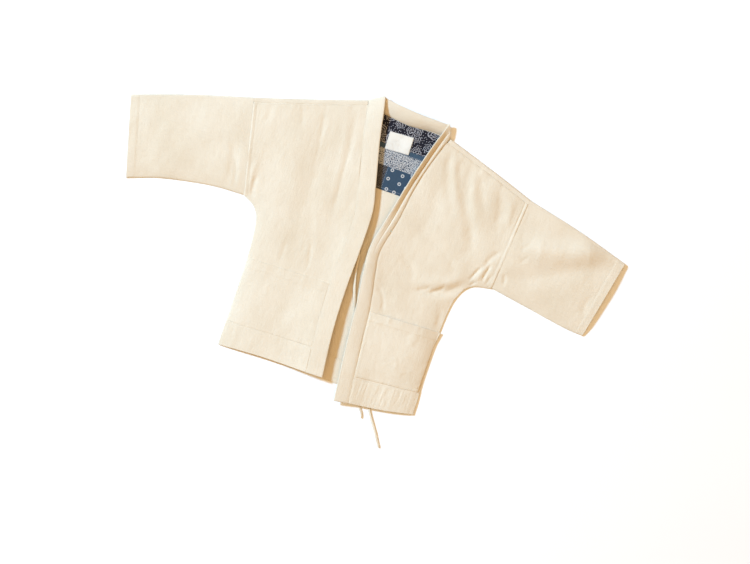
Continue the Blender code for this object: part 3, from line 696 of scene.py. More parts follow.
def fold_over(x, past, depth):
    """The strip past the shoulder line: half round a circle, then forward on the upper layer.
    depth is measured in from the outer side."""
    angle = np.clip(past / FOLD_RADIUS, 0, np.pi)
    radius = FOLD_RADIUS - depth
    y = shoulder_line(x) + radius * np.sin(angle) - np.maximum(past - turn, 0)
    over = at_height(np.stack([x, y], -1), FOLD_RADIUS - radius * np.cos(angle))
    laid = past > turn + 1e-6
    over[..., 2] = np.where(laid, lie(over[..., :2]) + CLOTH - depth, over[..., 2])
    return over


past = wrap_past[1:, None]
laid = np.maximum(past - turn, 0)
layers = []
for depth in (0.0, CLOTH):
    parts = [at_height(flat, flat_z + depth)]
    for side, xs in (("right", right_x), ("left", left_x)):
        # The armhole's end keeps to the armhole seam, and the neck's end slants
        end_y = shoulder_line(SHOULDER[side][-1][0])
        shift = armhole_x(side, end_y - laid) - armhole_x(side, end_y)
        towards_end = (xs - xs[0]) / (xs[-1] - xs[0])
        towards_end = 1 - towards_end if side == "right" else towards_end
        forward = laid * (1 - towards_end) ** 8
        x = xs + shift * towards_end**4 + NECK_SLANT[side] * forward
        parts.append(fold_over(x, np.broadcast_to(past, x.shape), depth))
    layers.append(np.vstack([part.reshape(-1, 3) for part in parts]))

index = np.arange(flat[..., 0].size).reshape(flat.shape[:2])
quads = [grid_faces(index)]
places = [flat.reshape(-1, 2)]
first = index.size
for xs, at_top in ((right_x, index[-1:, :len(right_x)]), (left_x, index[-1:, -len(left_x):])):
    strip = np.arange(first, first + len(past) * len(xs)).reshape(-1, len(xs))
    quads.append(grid_faces(np.vstack([at_top, strip])))
    first += strip.size
    places.append(np.stack(np.broadcast_arrays(xs, shoulder_line(xs) + past), -1).reshape(-1, 2))
back = add_wall("back_panel", *layers, np.vstack(quads), np.vstack(places), body_cotton)
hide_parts("back")


# The patchwork yoke lining. Indigo prints pieced together and sewn flat inside the back, from
# the neck down; it shows in the neck opening.
LINING = 0.0008
YOKE_LOW = [(-0.205, 0.157), (0.235, 0.157)]
YOKE_HIGH = [(-0.222, 0.288), (-0.095, 0.345), (-0.083, 0.35), (-0.044, 0.3375), (0.0, 0.3317),
             (0.027, 0.3297), (0.06, 0.3318), (0.085, 0.3337), (0.129, 0.3315), (0.146, 0.309),
             (0.252, 0.275)]
PATCH_SEAMS = (0.217, 0.257, 0.2695)  # y of the seams that run across
DARK_PATCH_END = 0.0125  # x of the seam that runs up
SEAM_GROOVE = (0.0003, 0.0035)  # depth and half width of the groove along a patch seam
YOKE_CLEAR = 0.0004  # the lining lies this much clear of the back, besides GAP
on_back = CLOTH + GAP


def patchwork(name):
    """Indigo prints in patches: navy with pale curls, a plain blue stripe, a dense grey print
    and blue with rings. Each curl is a set of pale rings round a cell's middle, pulled into a
    drop by its own angle."""
    made, shader, u, v = start_material(name)
    place = u.node("ShaderNodeCombineXYZ", X=u, Y=v)

    def cells(fineness, seed):
        """Distance in metres from the middle of each cell, its angle, and a number of its own."""
        at = u.node("ShaderNodeVectorMath", {"operation": "ADD"}, n0=place, n1=(seed, seed / 2, 0))
        middle = u.node("ShaderNodeTexVoronoi", {"voronoi_dimensions": "2D"}, 2,
                        Vector=at, Scale=fineness, Randomness=0.75)
        own = u.node("ShaderNodeSeparateColor", Color=middle.other(1))
        away = u.node("ShaderNodeVectorMath", {"operation": "SUBTRACT"}, n0=at, n1=middle)
        split = u.node("ShaderNodeSeparateXYZ", Vector=away)
        far = u.node("ShaderNodeVectorMath", {"operation": "LENGTH"}, 1, n0=away)
        angle = u.maths("ARCTAN2", split.other(1), split)
        return far, angle, own

    def curls(fineness, seed, ring, petals):
        far, angle, own = cells(fineness, seed)
        drop = far * (u.maths("COSINE", angle + own * 6.28) * 0.35 + 1.0)
        leaf = u.maths("SINE", angle * petals) * (ring * 0.22)
        return (drop + leaf).wave(ring).step(0.4, 0.85) * (1 - drop.step(ring * 2.6, ring * 3.0))

    def dots(fineness, seed, size):
        far, _, own = cells(fineness, seed)
        return 1 - far.step(size * 0.7, size * 1.3)

    navy, deep, blue = rgb(27, 26, 36), rgb(36, 36, 48), rgb(60, 82, 102)
    pale, white, faded = rgb(204, 203, 208), rgb(222, 222, 220), rgb(76, 98, 116)
    cloud = u.noise(u, v, (60, 60), 3.0)
    curl_mask = u.maths("MAXIMUM", curls(36, 0.31, 0.005, 5.0), dots(150, 1.7, 0.001))
    curl_patch = (curl_mask * (cloud * 0.6 + 0.45)).mix(navy, pale)
    fine_mask = u.maths("MAXIMUM", curls(64, 2.3, 0.0036, 6.0), dots(330, 4.1, 0.0011))
    dense_patch = (fine_mask * 0.92).mix(rgb(50, 66, 88), white)
    far, _, own = cells(38, 3.7)
    ring_mask = (1 - far.step(0.004, 0.0048)) * far.step(0.0018, 0.0026)
    ring_patch = (ring_mask * own.step(0.2, 0.3) * 0.9).mix(blue, white)
    plain_patch = cloud.mix(blue, faded)
    dark_mask = u.maths("MAXIMUM", curls(90, 5.2, 0.0026, 6.0), dots(380, 6.4, 0.0009))
    dark_patch = (dark_mask * 0.45).mix(rgb(26, 26, 34), rgb(150, 146, 142))

    blur = 0.0002
    colour = (1 - u.step(DARK_PATCH_END - blur, DARK_PATCH_END + blur)).mix(ring_patch, dark_patch)
    for y, above in zip(PATCH_SEAMS, (dense_patch, plain_patch, curl_patch)):
        colour = v.step(y - blur, y + blur).mix(colour, above)
    yarns = u.noise(u, v, (900, 120), 2.0)
    colour = (yarns * 0.25).mix(colour, deep)
    weave = u.wave(0.0011) * v.wave(0.0011)
    crinkle = u.noise(u, v, (120, 120), 4.0)
    finish_material(shader, colour, yarns * 0.2 + 0.75, crinkle * 0.8 + weave * 0.1, 0.0009)
    return made


yoke_flat = patch(np.array(YOKE_LOW), np.array(YOKE_HIGH), 110, 36)
# Each patch seam pulls the lining down into a shallow groove
seams_y = np.min([np.abs(yoke_flat[..., 1] - y) for y in PATCH_SEAMS], axis=0)
groove = SEAM_GROOVE[0] * bell(seams_y, SEAM_GROOVE[1])
ruffled = np.maximum(0.0005 * crumple(yoke_flat, (0.03, 0.02), 9), 0)
yoke_z = under(yoke_flat) + on_back + YOKE_CLEAR + ruffled - groove
yoke = add_cloth("yoke_patchwork", yoke_flat, yoke_z, yoke_z + LINING, patchwork("patchwork_cotton"))
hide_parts("yoke_lining")


# The neck label. A small patch of white woven tape, bare, with its ends turned under and sewn
# to the lining along its upper and lower edges.
LABEL = 0.0008
LABEL_CLEAR = 0.0009
LABEL_CORNERS = [(-0.0095, 0.257), (0.0515, 0.2605), (0.05, 0.3055), (-0.011, 0.302)]


def woven_tape(name):
    """White taffeta tape: fine ribs across it, a slightly greyer woven border, faint specks."""
    made, shader, u, v = start_material(name)
    rib = v.wave(0.0009)
    speck = u.noise(u, v, (900, 900), 2.0)
    cloud = u.noise(u, v, (70, 70), 2.0)
    border = 1 - (0.5 - u.maths("ABSOLUTE", u - 0.5)).step(0.035, 0.045)
    tone = speck * 0.5 + cloud * 0.3 + border * 0.25
    colour = tone.step(0.3, 1.0).mix(rgb(244, 240, 230), rgb(222, 217, 204))
    finish_material(shader, colour, speck * 0.2 + 0.5, rib * 0.3 + speck * 0.4, 0.0003)
    return made


a, b, c, d = np.array(LABEL_CORNERS)
label_flat = patch(np.array([a, b]), np.array([d, c]), 42, 32)
s, t = np.meshgrid(np.linspace(0, 1, 42), np.linspace(0, 1, 32))
belly = 0.0009 * np.sin(np.pi * t) * (0.6 + 0.4 * np.sin(2.3 * np.pi * s + 0.7))
label_z = under(label_flat) + on_back + LINING + GAP + LABEL_CLEAR + belly
label = add_cloth("woven_neck_label", label_flat, label_z, label_z + LABEL, woven_tape("white_tape"),
                  np.stack([s, t], -1))
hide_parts("neck_label")


# The turned-up hem of the back. It shows between the two fronts as a second layer of the same
# cotton, sewn down along its upper edge.
FACING = 0.001
HEM_LOW = [(-0.212, -0.339), (0.034, -0.335), (0.246, -0.336)]
HEM_HIGH = [(-0.212, -0.279), (0.034, -0.2768), (0.246, -0.2745)]

hem_flat = patch(smooth(HEM_LOW, 0.01), np.array(HEM_HIGH), 130, 24)
# It puffs up between its fold and its stitches
sewn = np.clip((hem_flat[..., 1] + 0.336) / 0.06, 0, 1)
puff = 0.0007 * np.sin(np.pi * sewn) * (1 + 0.5 * crumple(hem_flat, (0.012, 0.05), 11))
hem_z = under(hem_flat) + on_back + puff
hem = add_cloth("back_hem_turn_up", hem_flat, hem_z, hem_z + FACING, body_cotton)
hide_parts("back_hem_facing")

STITCH_PITCH = 0.0042
STITCH = (0.003, 0.0006, 0.0003)  # length, width and height of a stitch
YOKE_STITCHES = (0.2185, 0.2585, 0.2715)  # y of the lining's stitch rows, just above its seams
DARK_PATCH_STITCH = 0.0145  # x of the one that runs up


def thread(name, light, shade):
    """Sewing thread: two plies that twist round each other, as slanting ribs. Its tone varies
    at random with fuzz, and the grooves between the plies are in painted shade.
    """
    made, shader, u, v = start_material(name)
    twist = (u + v * 0.5).wave(0.0006)
    fuzz = u.noise(u, v, (2500, 2500), 2.0)
    # The colour follows the ribs as well as the fuzz: painted shade in the grooves, lighter on the plies'
    # crowns
    colour = (twist * 0.3 + fuzz * 0.7).step(0.1, 0.8).mix(shade, light)
    finish_material(shader, colour, fuzz * 0.2 + 0.6, twist, 0.0001)
    return made


def add_stitches(name, lines, look, sink=0.0):
    """Running stitches along lines of points. Each is a short bar of four square sections, the
    end ones smaller, half sunk in the cloth: along the line by its tangent, across it by the
    tangent crossed with the upward direction."""
    size, width, height = STITCH
    starts, stops = [], []
    for line in lines:
        run = running(line)
        at = (np.arange(int(run[-1] / STITCH_PITCH)) + 0.5) * STITCH_PITCH
        for ends, shift in ((starts, -size / 2), (stops, size / 2)):
            ends.append(np.column_stack([np.interp(at + shift, run, column) for column in line.T]))
    starts, stops = np.vstack(starts), np.vstack(stops)
    along = unit(stops - starts)
    sideways = unit(np.cross([0, 0, 1], along))
    upward = np.cross(along, sideways)
    spots = (starts + stops) / 2 - [0, 0, sink]
    reach = np.array([-0.5, -0.32, 0.32, 0.5]) * size
    swell = np.array([0.4, 1, 1, 0.4])
    corner = np.radians([45, 135, 225, 315])
    points = (spots[:, None, None] + along[:, None, None] * reach[None, :, None, None]
              + sideways[:, None, None] * (swell[:, None] * np.cos(corner) * width * 0.7)[None, ..., None]
              + upward[:, None, None] * (swell[:, None] * np.sin(corner) * height * 0.7)[None, ..., None])
    bar, _ = tube_faces(4, 4)
    bar = np.vstack([bar, [[3, 2, 1, 0]], [[12, 13, 14, 15]]])
    quads = (bar[None] + 16 * np.arange(len(spots))[:, None, None]).reshape(-1, 4)
    flat_place = np.stack(np.meshgrid(reach, np.arange(4) * width, indexing="ij"), -1).reshape(16, 2)
    uv = np.tile(flat_place, (len(spots), 1))
    return add_piece(name, points.reshape(-1, 3), quads, uv[quads], look)


cream_thread = thread("cream_thread", rgb(236, 224, 202), rgb(216, 200, 172))
pale_thread = thread("pale_thread", rgb(214, 216, 224), rgb(168, 172, 186))

hem_row = hem_flat[-2]
hem_line = at_height(hem_row, under(hem_row) + on_back + FACING + 0.0002)
add_stitches("back_hem_stitches", [hem_line], cream_thread)
yoke_top = yoke_z + LINING
yoke_lines = []
xs = np.linspace(-0.19, 0.225, 200)
for y in YOKE_STITCHES:
    row = np.abs(yoke_flat[:, 55, 1] - y).argmin()
    heights = np.interp(xs, yoke_flat[row, :, 0], yoke_top[row])
    yoke_lines.append(np.column_stack([xs, np.full(200, y), heights]))
row = np.abs(yoke_flat[:, 0, 1] - 0.19).argmin()
column = np.abs(yoke_flat[row, :, 0] - DARK_PATCH_STITCH).argmin()
seam_line = np.column_stack([np.full(40, DARK_PATCH_STITCH), np.linspace(0.16, 0.215, 40)])
yoke_lines.append(at_height(seam_line, yoke_top[row, column]))
yoke_lines.append(at_height(yoke_flat[1], yoke_top[1]))
add_stitches("yoke_seam_stitches", yoke_lines, pale_thread)
label_lines = [at_height(label_flat[k], label_z[k] + LABEL) for k in (1, -2)]
add_stitches("neck_label_stitches", label_lines, pale_thread)


# The sleeves. Each is one tube of cream cotton, folded along its top, seamed along its lower
# edge and open at the cuff, whose hem is turned up inside and sewn.
CUFF_HEM = 0.022
CUFF_STEP = 0.0006  # how much the doubled cuff stands proud
CUFF_GROOVE = (0.0004, 0.0022)  # depth and half width of the groove along its stitches
SLEEVE_RINGS = 112
SLEEVE_LENGTH = 0.31
CUFF_STITCHES = {"above": (86, 154), "below": (3, 70)}  # points of a ring that they run over


def sleeve_surface(tops, lows, depth, cuff):
    """The sleeve as rings from the armhole to the cuff, each round its lower layer, seamed edge,
    upper layer and top fold. depth is measured in from the outer side."""
    width = np.linalg.norm(lows - tops, axis=1)[:, None]
    seam_radius = CLOTH + GAP / 2
    seam_turn = np.radians(np.linspace(-66, 66, 7))[None]
    fold_turn = np.radians(np.linspace(102, 258, 13))[None]
    share = np.linspace(0, 1, 74)[None]
    reach = width - seam_radius - FOLD_RADIUS

    def place(away):
        return tops[:, None] + (lows - tops)[:, None] * (away / width)[..., None]

    below = place(FOLD_RADIUS + reach * share)
    above = place(width - seam_radius - reach * share)
    seam = place(width - seam_radius + (seam_radius - depth) * np.cos(seam_turn))
    fold = place(FOLD_RADIUS + (FOLD_RADIUS - depth) * np.cos(fold_turn))
    return np.concatenate([
        at_height(below, under(below) + depth),
        at_height(seam, seam_radius + (seam_radius - depth) * np.sin(seam_turn)),
        at_height(above, lie(above) + (CLOTH - depth) * steepness(above) + cuff * (depth == 0)),
        at_height(fold, FOLD_RADIUS + (FOLD_RADIUS - depth) * np.sin(fold_turn)),
    ], axis=1)


for side in ("right", "left"):
    shift = np.array([np.sign(SLEEVE_TOP[side][0][0]) * GAP * 1.2, 0])
    rings = SLEEVE_RINGS
    tops = even(smooth(SLEEVE_TOP[side], 0.004), rings) + shift
    lows = even(smooth(SLEEVE_LOW[side], 0.004), rings) + shift
    from_cuff = (1 - np.linspace(0, 1, rings)) * np.linalg.norm(tops[-1] - tops[0])
    proud = CUFF_STEP * step_down(from_cuff - CUFF_HEM, 0.0008)
    cuff = (proud - CUFF_GROOVE[0] * bell(from_cuff - CUFF_HEM, CUFF_GROOVE[1]))[:, None]
    outer = sleeve_surface(tops, lows, 0.0, cuff)
    inner = sleeve_surface(tops, lows, CLOTH, cuff)
    around = outer.shape[1]
    quads, places = tube_faces(rings, around)
    run = np.array([running(closed(ring)) for ring in outer])
    along = np.broadcast_to(np.linspace(0, SLEEVE_LENGTH, rings)[:, None], run.shape)
    uv = np.stack([run, along], -1).reshape(-1, 2)[places]
    count = rings * around
    j = np.arange(around)
    k = (j + 1) % around
    last = (rings - 1) * around
    lip = (outer[[0, -1]] + inner[[0, -1]]) / 2
    lip[1] += unit(outer[-1] - outer[-2]) * CLOTH * 0.33
    ends = []
    for ring, lip_first, a, b in ((0, 2 * count, k, j), (last, 2 * count + around, j, k)):
        ends += [np.column_stack([ring + a, ring + b, lip_first + b, lip_first + a]),
                 np.column_stack([lip_first + a, lip_first + b, count + ring + b, count + ring + a])]
    ends = np.vstack(ends)
    end_uv = np.zeros((len(ends), 4, 2)) + np.linspace(0, 0.5, len(ends))[:, None, None]
    points = np.vstack([outer.reshape(-1, 3), inner.reshape(-1, 3), lip.reshape(-1, 3)])
    faces = np.vstack([quads, quads[:, ::-1] + count, ends])
    uv = np.vstack([uv, uv[:, ::-1], end_uv])
    sleeve = add_piece(f"sleeve_tube_{side}", points, faces, uv, body_cotton)
    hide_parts(f"sleeve_{side}")
    hem_ring = np.abs(from_cuff - CUFF_HEM - 0.001).argmin()
    above, underneath = (outer[hem_ring, slice(*CUFF_STITCHES[k])] for k in ("above", "below"))
    add_stitches(f"cuff_stitches_{side}", [above, underneath + [0, 0, 0.0002]], cream_thread, 0.0001)


# The two fronts. Each is one panel of cream cotton, sewn to the back at the shoulder and the
# side, to its sleeve at the armhole and to the band, with its hem turned up inside.
FRONT_HEM = {
    "right": [(-0.239, -0.343), (-0.125, -0.336), (-0.01, -0.335)],
    "left": [(0.279, -0.346), (0.2, -0.362), (0.117, -0.373)],
}
FRONT_HEM_UP = 0.062
FRONT_COLUMNS = 96
BAND_SEAM = {
    "right": [(-0.01, -0.335), (-0.022, -0.221), (-0.028, -0.111), (-0.026, -0.012),
              (-0.027, 0.084), (-0.041, 0.146), (-0.069, 0.258), (-0.0835, 0.328), (-0.087, 0.3525)],
    "left": [(0.117, -0.373), (0.1, -0.24), (0.088, -0.13), (0.073, -0.048),
             (0.066, 0.014), (0.083, 0.1), (0.097, 0.198), (0.123, 0.295), (0.135, 0.328)],
}
ARMHOLE_RIDGE = 0.0068  # the seam allowances reach this far from the armhole seam


def shoulder_seam(x):
    """y of the seam between a front and the back's turned-over shoulder."""
    return shoulder_line(x) + FOLD_RADIUS - SEAM_FORWARD


def front_grid(side):
    """The front seen from above, rows from the hem to the shoulder seam."""
    edge = side_line(side, 128, 82)
    top_y = shoulder_seam(SHOULDER[side][-1][0]) - GAP
    edge = edge[edge[:, 1] < top_y - 0.001]
    edge = np.vstack([edge, [armhole_x(side, top_y), top_y]])
    seam = smooth(BAND_SEAM[side], 0.003)
    neck_y = shoulder_seam(SHOULDER[side][0][0]) - GAP
    neck = np.array([np.interp(neck_y, seam[:, 1], seam[:, 0]), neck_y])
    seam = even(np.vstack([seam[seam[:, 1] < neck_y], neck]), len(edge))
    xs = np.linspace(edge[-1, 0], neck[0], FRONT_COLUMNS)
    shoulder = np.column_stack([xs, shoulder_seam(xs) - GAP])
    shoulder[0], shoulder[-1] = edge[-1], neck
    hem = even(smooth(FRONT_HEM[side], 0.006), FRONT_COLUMNS)
    if side == "right":
        return between(hem, shoulder, edge, seam)
    return between(hem[::-1], shoulder[::-1], seam, edge)


def pile(points, side):
    """How much the outer side stands up over one layer: the doubled hem, the pressed seam
    allowances along armhole and shoulder, and the grooves of the stitch lines."""
    past_hem = distance(points, smooth(FRONT_HEM[side], 0.02)) - FRONT_HEM_UP
    arm = np.array([(armhole_x(side, y), y) for y in (SIDE[side][0][1], SHOULDER[side][-1][1])])
    armhole = distance(points, arm)
    past_ridge = armhole - ARMHOLE_RIDGE
    shoulder = np.abs(points[..., 1] - shoulder_seam(points[..., 0]))
    rise = 0.0007 * step_down(past_hem, 0.001) + 0.0006 * step_down(past_ridge, 0.0006)
    # Grooves: beside the armhole's ridge, along the armhole, the hem's stitches and the shoulder
    for away, depth, width in ((past_ridge - 0.001, 0.0013, 0.0013), (armhole, 0.0006, 0.0016),
                               (past_hem - 0.0008, 0.0008, 0.0018), (shoulder, 0.0007, 0.0024)):
        rise = rise - depth * bell(away, width)
    # Puckers square to the hem and to the shoulder seam, where the stitches draw the cloth up
    gathered = bell(past_hem + FRONT_HEM_UP * 0.45, 0.026) * (1.0 if side == "left" else 0.25)
    rise = rise + 0.0007 * gathered * crumple(points, (0.0042, 0.035), 21)
    pulled = np.exp(-shoulder / 0.024) * (1.0 if side == "left" else 0.4)
    rise = rise + 0.0012 * pulled * crumple(points, (0.01, 0.055), 22)
    # Along the left front's band the seam draws the cloth down, unevenly
    seam = distance(points, smooth(BAND_SEAM[side], 0.02))
    drawn = bell(seam, 0.0035) * (1 + 0.8 * crumple(points, (0.05, 0.012), 23))
    return rise - 0.0006 * drawn * (side == "left")


for side in ("right", "left"):
    flat = front_grid(side)
    lower_z = lie(flat)
    upper_z = lower_z + CLOTH * steepness(flat) + pile(flat, side)
    upper = at_height(flat, upper_z)
    add_cloth(f"front_panel_{side}", flat, lower_z, upper_z, body_cotton)
    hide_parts(f"front_{side}")
    hem_row = np.abs(distance(flat[:, 40], smooth(FRONT_HEM[side], 0.02)) - FRONT_HEM_UP).argmin()
    arm_column = 3 if side == "right" else -4
    upper_arm = flat[:, arm_column, 1] > SIDE[side][0][1]
    add_stitches(f"front_stitches_{side}", [upper[hem_row], upper[-2], upper[upper_arm, arm_column]],
                 cream_thread)


# The patch pockets. One square of the same cotton in each front's lower corner, its top edge
# hemmed and open, its other edges turned under and sewn down.
POCKET = {
    "right": [(-0.2385, -0.279), (-0.2385, -0.1155), (-0.031, -0.108), (-0.0235, -0.27)],
    "left": [(0.2705, -0.29), (0.27, -0.132), (0.094, -0.1405), (0.111, -0.305)],
}
POCKET_FULL = {"right": 0.0003, "left": 0.002}  # how far the pocket stands off its front
POCKET_CLOTH = {"right": 0.0008, "left": 0.0014}  # the right one is pressed flat
POCKET_EAR = 0.0055  # how far the left one's loose corner stands out past the side seam
POCKET_INSET = {"side": 0.0012, "band": -0.0006}  # of the right one's edges from the two seams
POCKET_GRID = (62, 82)
MOUTH_HEM = 0.86  # its lower edge, as a share of the pocket's height


def beside(line, y_low, y_high, inset, count):
    """Points along a seam line between two heights, moved sideways by a given inset."""
    y = np.linspace(y_low, y_high, count)
    rows = smooth(line, 0.006)
    rows = rows[np.argsort(rows[:, 1])]
    return np.column_stack([np.interp(y, rows[:, 1], rows[:, 0]) + inset, y])


rows, columns = POCKET_GRID
s, t = np.meshgrid(np.linspace(0, 1, columns), np.linspace(0, 1, rows))
for side in ("right", "left"):
    low_out, high_out, high_in, low_in = (np.array(p) for p in POCKET[side])
    if side == "right":
        outside = beside(SIDE[side], low_out[1], high_out[1], POCKET_INSET["side"], rows)
        inside = beside(BAND_SEAM[side], low_in[1], high_in[1], POCKET_INSET["band"], rows)
    else:
        outside = even(np.array([low_out, high_out]), rows)
        outside[:, 0] += POCKET_EAR * t[:, 0] ** 6
        inside = even(np.array([low_in, high_in]), rows)
    low, high = (even(np.array([outside[k], inside[k]]), columns) for k in (0, -1))
    flat = between(low, high, outside, inside)
    if side == "left":
        flat = flat[:, ::-1]
    thick = steepness(flat)
    sewn = np.minimum(np.minimum(s, 1 - s) * 5, 1) * np.minimum(t * 6, 1)
    full = POCKET_FULL[side]
    belly = full * (1.6 * np.sin(np.pi * s) * t**3 + 0.9 * sewn)
    wrinkles = 0.55 * crumple(flat, (0.024, 0.018), 31) + 0.25 * crumple(flat, (0.009, 0.012), 32)
    crushed = full * sewn * wrinkles
    mouth_hem = 0.0007 * step_down(MOUTH_HEM - t, 0.004)
    bottom = lie(flat) + CLOTH * thick + np.maximum(pile(flat, side), 0)
    lower_z = bottom + GAP * (1 if side == "left" else 0.4) * thick + belly + np.maximum(crushed, 0)
    thin = 1 - (side == "right") * 0.85 * bell(np.minimum(s, 1 - s), 0.03)
    upper_z = lower_z + (POCKET_CLOTH[side] * thick + mouth_hem) * thin
    upper = at_height(flat, upper_z)
    add_cloth(f"patch_pocket_{side}", flat, lower_z, upper_z, body_cotton)
    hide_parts(f"pocket_{side}")
    mouth_row = np.abs(t[:, 0] - MOUTH_HEM - 0.01).argmin()
    lines = [upper[mouth_row, 2:-2], upper[1, 2:-2], upper[1:-1, 2], upper[1:-1, -3]]
    add_stitches(f"pocket_stitches_{side}", lines, cream_thread, 0.0002 * (side == "right"))


# The collar band. One long doubled strip of the same cotton, sewn to both fronts and round the
# back neck, folded along its free edge. It stands up behind the neck and lies low on the fronts.
BAND = 0.0032
BAND_STEP = 0.0045
NECK_SEAM = 0.0022  # height of the band's seam edge along the back neck

# Columns: where the row is; x and y of the seamed edge; x and y of the edge seen from above;
# and the heights of the band over its seam, at even steps to that edge
BAND_ROWS = [
    ("front", -0.01, -0.335, 0.033, -0.334, 0.0004, 0.0008, 0.0011, 0.0013, 0.0015, 0.0016),
    ("front", -0.022, -0.221, 0.02, -0.219, 0.0004, 0.0007, 0.001, 0.0012, 0.0013, 0.0014),
    ("front", -0.028, -0.111, 0.0155, -0.111, 0.0003, 0.0006, 0.0008, 0.001, 0.0011, 0.0012),
    ("front", -0.026, -0.012, 0.0165, -0.012, 0.0003, 0.0006, 0.0008, 0.001, 0.0011, 0.0012),
    ("front", -0.027, 0.084, 0.0145, 0.092, 0.0003, 0.0006, 0.0008, 0.001, 0.0011, 0.0012),
    ("front", -0.041, 0.146, 0.001, 0.155, 0.0003, 0.0006, 0.0008, 0.001, 0.0011, 0.0012),
    ("front", -0.069, 0.258, -0.028, 0.268, 0.0007, 0.0015, 0.0022, 0.0028, 0.0034, 0.004),
    ("front", -0.0835, 0.328, -0.043, 0.341, 0.0017, 0.0034, 0.0051, 0.0066, 0.0079, 0.0089),
    ("front", -0.087, 0.3525, -0.0505, 0.3735, 0.0019, 0.0039, 0.0057, 0.0073, 0.0087, 0.0096),
    ("fold", -0.0885, 0.356, -0.0525, 0.378, 0.0018, 0.0036, 0.0054, 0.007, 0.0084, 0.0094),
    ("neck", -0.085, 0.3525, -0.048, 0.3755, 0.0017, 0.0034, 0.0051, 0.0068, 0.0082, 0.0092),
    ("neck", -0.044, 0.339, -0.016, 0.37, 0.0025, 0.0052, 0.0078, 0.0098, 0.0112, 0.0116),
    ("neck", 0.027, 0.331, 0.04, 0.365, 0.0045, 0.0085, 0.0115, 0.0135, 0.014, 0.0125),
    ("neck", 0.085, 0.335, 0.088, 0.364, 0.005, 0.0095, 0.0125, 0.0145, 0.015, 0.013),
    ("neck", 0.131, 0.333, 0.1165, 0.364, 0.0038, 0.007, 0.009, 0.0105, 0.011, 0.0105),
    ("fold", 0.137, 0.333, 0.1225, 0.366, 0.0025, 0.0045, 0.006, 0.007, 0.0075, 0.0075),
    ("front", 0.135, 0.328, 0.121, 0.36, 0.0018, 0.0028, 0.0034, 0.0044, 0.006, 0.007),
    ("front", 0.123, 0.295, 0.104, 0.306, 0.002, 0.0018, 0.0008, 0.003, 0.0074, 0.01),
    ("front", 0.097, 0.198, 0.077, 0.201, 0.002, 0.0018, 0.0008, 0.003, 0.0074, 0.01),
    ("front", 0.083, 0.1, 0.057, 0.105, 0.0015, 0.0022, 0.002, 0.0032, 0.0058, 0.007),
    ("front", 0.066, 0.014, 0.039, 0.015, 0.0018, 0.003, 0.0039, 0.0046, 0.005, 0.0046),
    ("front", 0.073, -0.048, 0.0435, -0.048, 0.0022, 0.0035, 0.0044, 0.0051, 0.0054, 0.0049),
    ("front", 0.088, -0.13, 0.0545, -0.13, 0.0013, 0.0022, 0.003, 0.0036, 0.004, 0.0039),
    ("front", 0.1, -0.24, 0.065, -0.24, 0.0009, 0.0015, 0.0021, 0.0026, 0.0029, 0.0029),
    ("front", 0.117, -0.373, 0.0815, -0.379, 0.0008, 0.0014, 0.0019, 0.0024, 0.0027, 0.0027),
]

# Depth of the lengthwise tuck in the left front's part, at rows of (y, depth)
TUCK = [(-0.02, 0.0), (0.07, 0.001), (0.13, 0.002), (0.2, 0.0024), (0.3, 0.0022),
        (0.33, 0.0008), (0.35, 0.0)]
BAND_WIDTH = 0.042
BAND_COLUMNS = 31
SWELL = 4.0  # columns over which the seamed edge swells to the whole thickness
END_ROUND = 0.0012  # length of cloth round each end of the band
LEFT_TURN = (0.137, 0.333)  # where the band turns from the neck on to the left front


def spread(table, count):
    """Values at even places across a table's columns: the cubic curve through each row."""
    at = np.linspace(0, table.shape[1] - 1, count)
    k = np.minimum(at.astype(int), table.shape[1] - 2)
    t = at - k
    wide = np.hstack([2 * table[:, :1] - table[:, 1:2], table, 2 * table[:, -1:] - table[:, -2:-1]])
    return cubic(*(wide[:, k + i] for i in range(4)), t)


def band_grid(columns):
    """Centre surface of the band: even steps from the seam to the edge seen from above, as high
    over the seam as the table says, clear of the cloth that it is sewn to."""
    rows = []
    for where, seam_x, seam_y, edge_x, edge_y, *heights in BAND_ROWS:
        top = lie(np.array([[seam_x, seam_y]]))[0] + CLOTH / 2
        seam_z = {"front": top, "neck": NECK_SEAM, "fold": (top + NECK_SEAM) / 2}[where]
        rows.append((seam_x, seam_y, seam_z, edge_x, edge_y, 0, *heights))
    line = smooth(rows, BAND_STEP)
    seam, heights = line[:, 0:3], line[:, 5:]
    level = line[:, 3:5] - seam[:, :2]
    width = np.linalg.norm(level, axis=1, keepdims=True)
    lean = np.sin(np.arctan2(heights[:, 1:2], width / (heights.shape[1] - 1)))
    clear = GAP + BAND / 2 * lean * 0.7
    away = clear + (width - clear) * np.linspace(0, 1, columns)
    plan = seam[:, None, :2] + (level / width)[:, None] * away[..., None]
    return np.concatenate([plan, (seam[:, 2:] + spread(heights, columns))[..., None]], axis=2)


centre = band_grid(BAND_COLUMNS)
face = unit(np.cross(np.gradient(centre, axis=1), np.gradient(centre, axis=0)))
rows, columns = centre.shape[:2]
run = running(centre[:, columns // 2])
wide = np.linspace(0, BAND_WIDTH, columns)
cloth_place = np.stack(np.meshgrid(run, wide, indexing="ij"), -1)
# Small slack waves along the doubled cloth, none at its seamed edge
slack = 0.0005 * crumple(cloth_place, (0.016, 0.05), 41) + 0.0004 * crumple(cloth_place, (0.045, 0.03), 42)
centre = centre + face * (slack * np.linspace(0, 1, columns)[None] ** 0.7)[..., None]
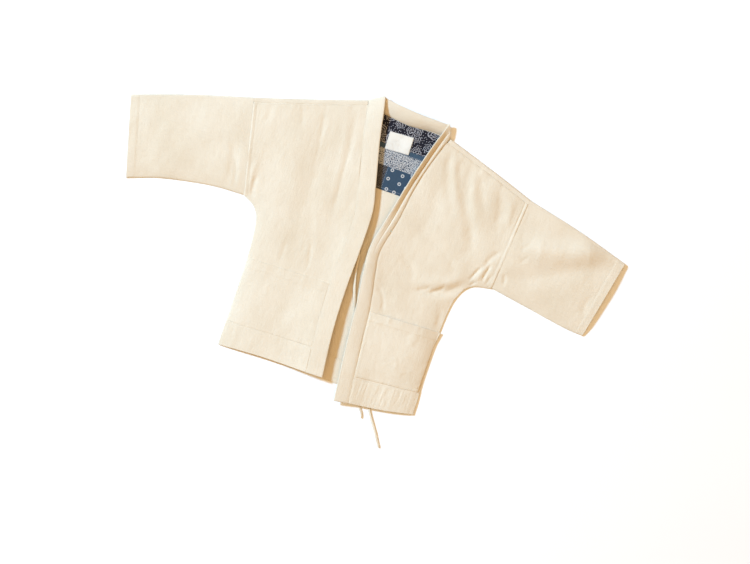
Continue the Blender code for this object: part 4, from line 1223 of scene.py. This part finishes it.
# Half its thickness: that of one cloth at the seam, swelling to the whole over some millimetres.
# On the left front a tuck is pressed into the upper side.
half_band = CLOTH / 2 + (BAND - CLOTH) / 2 * (1 - np.exp(-np.arange(columns) / SWELL))
on_left = run > run[np.abs(centre[:, 0, :2] - LEFT_TURN).sum(-1).argmin()]
tuck_y, tuck_depth = np.array(TUCK).T
depth = np.interp(centre[:, 0, 1], tuck_y, tuck_depth) * on_left
tuck = depth[:, None] * bell(np.linspace(0, 1, columns) - 0.5, 0.05)
top_side = centre + face * (half_band - tuck)[..., None]
low_side = centre - face * half_band[None, :, None]


def edge_round(middle, away, square, reach, half, turns):
    """Points half round an edge: a cosine outwards and a sine along the surface's normal."""
    return (middle[:, None] + away[:, None] * (reach * np.cos(turns))[None, :, None]
            + square[:, None] * (half * np.sin(turns))[None, :, None])


# Each section is a flat loop: up one side, round the folded edge, and back down the other
outward = unit(centre[:, -1] - centre[:, -2])
inward = unit(centre[:, 0] - centre[:, 1])
free_round = edge_round(centre[:, -1], outward, face[:, -1], half_band[-1], half_band[-1],
                        np.radians([60, 22, -22, -60]))
seam_round = edge_round(centre[:, 0], inward, face[:, 0], 0.0003, half_band[0], np.radians([-40, 40]))
loops = np.concatenate([top_side, free_round, low_side[:, ::-1], seam_round], axis=1)
loops = np.roll(loops, 1, axis=1)
# A smaller loop past each end rounds it off
paired = (loops + loops[:, ::-1]) / 2
caps = [paired[k] + (loops[k] - paired[k]) * 0.5 + unit(paired[k] - paired[k - sign]) * 0.0009
        for k, sign in ((0, -1), (rows - 1, 1))]
loops = np.concatenate([caps[:1], loops, caps[1:]])
run = np.concatenate([[-END_ROUND], run, [run[-1] + END_ROUND]])
rings, around = loops.shape[:2]
quads, places = tube_faces(rings, around)
loop_run = running(closed(loops[rings // 2]))
uv = np.stack(np.meshgrid(run, loop_run, indexing="ij"), -1)[..., ::-1].reshape(-1, 2)[places]
k = np.arange(around // 2 - 1)
end = np.column_stack([k, k + 1, around - 2 - k, around - 1 - k])
ends = np.vstack([end[:, ::-1], end + (rings - 1) * around])
end_uv = np.zeros((len(ends), 4, 2)) + np.linspace(0, 0.04, len(ends))[:, None, None]
band = add_piece("neck_and_front_band", loops.reshape(-1, 3), np.vstack([quads, ends]),
                 np.vstack([uv, end_uv]), body_cotton)
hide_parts("collar_band")

add_stitches("band_stitches", [top_side[3:-3, 1], top_side[3:-3, -2]], cream_thread)
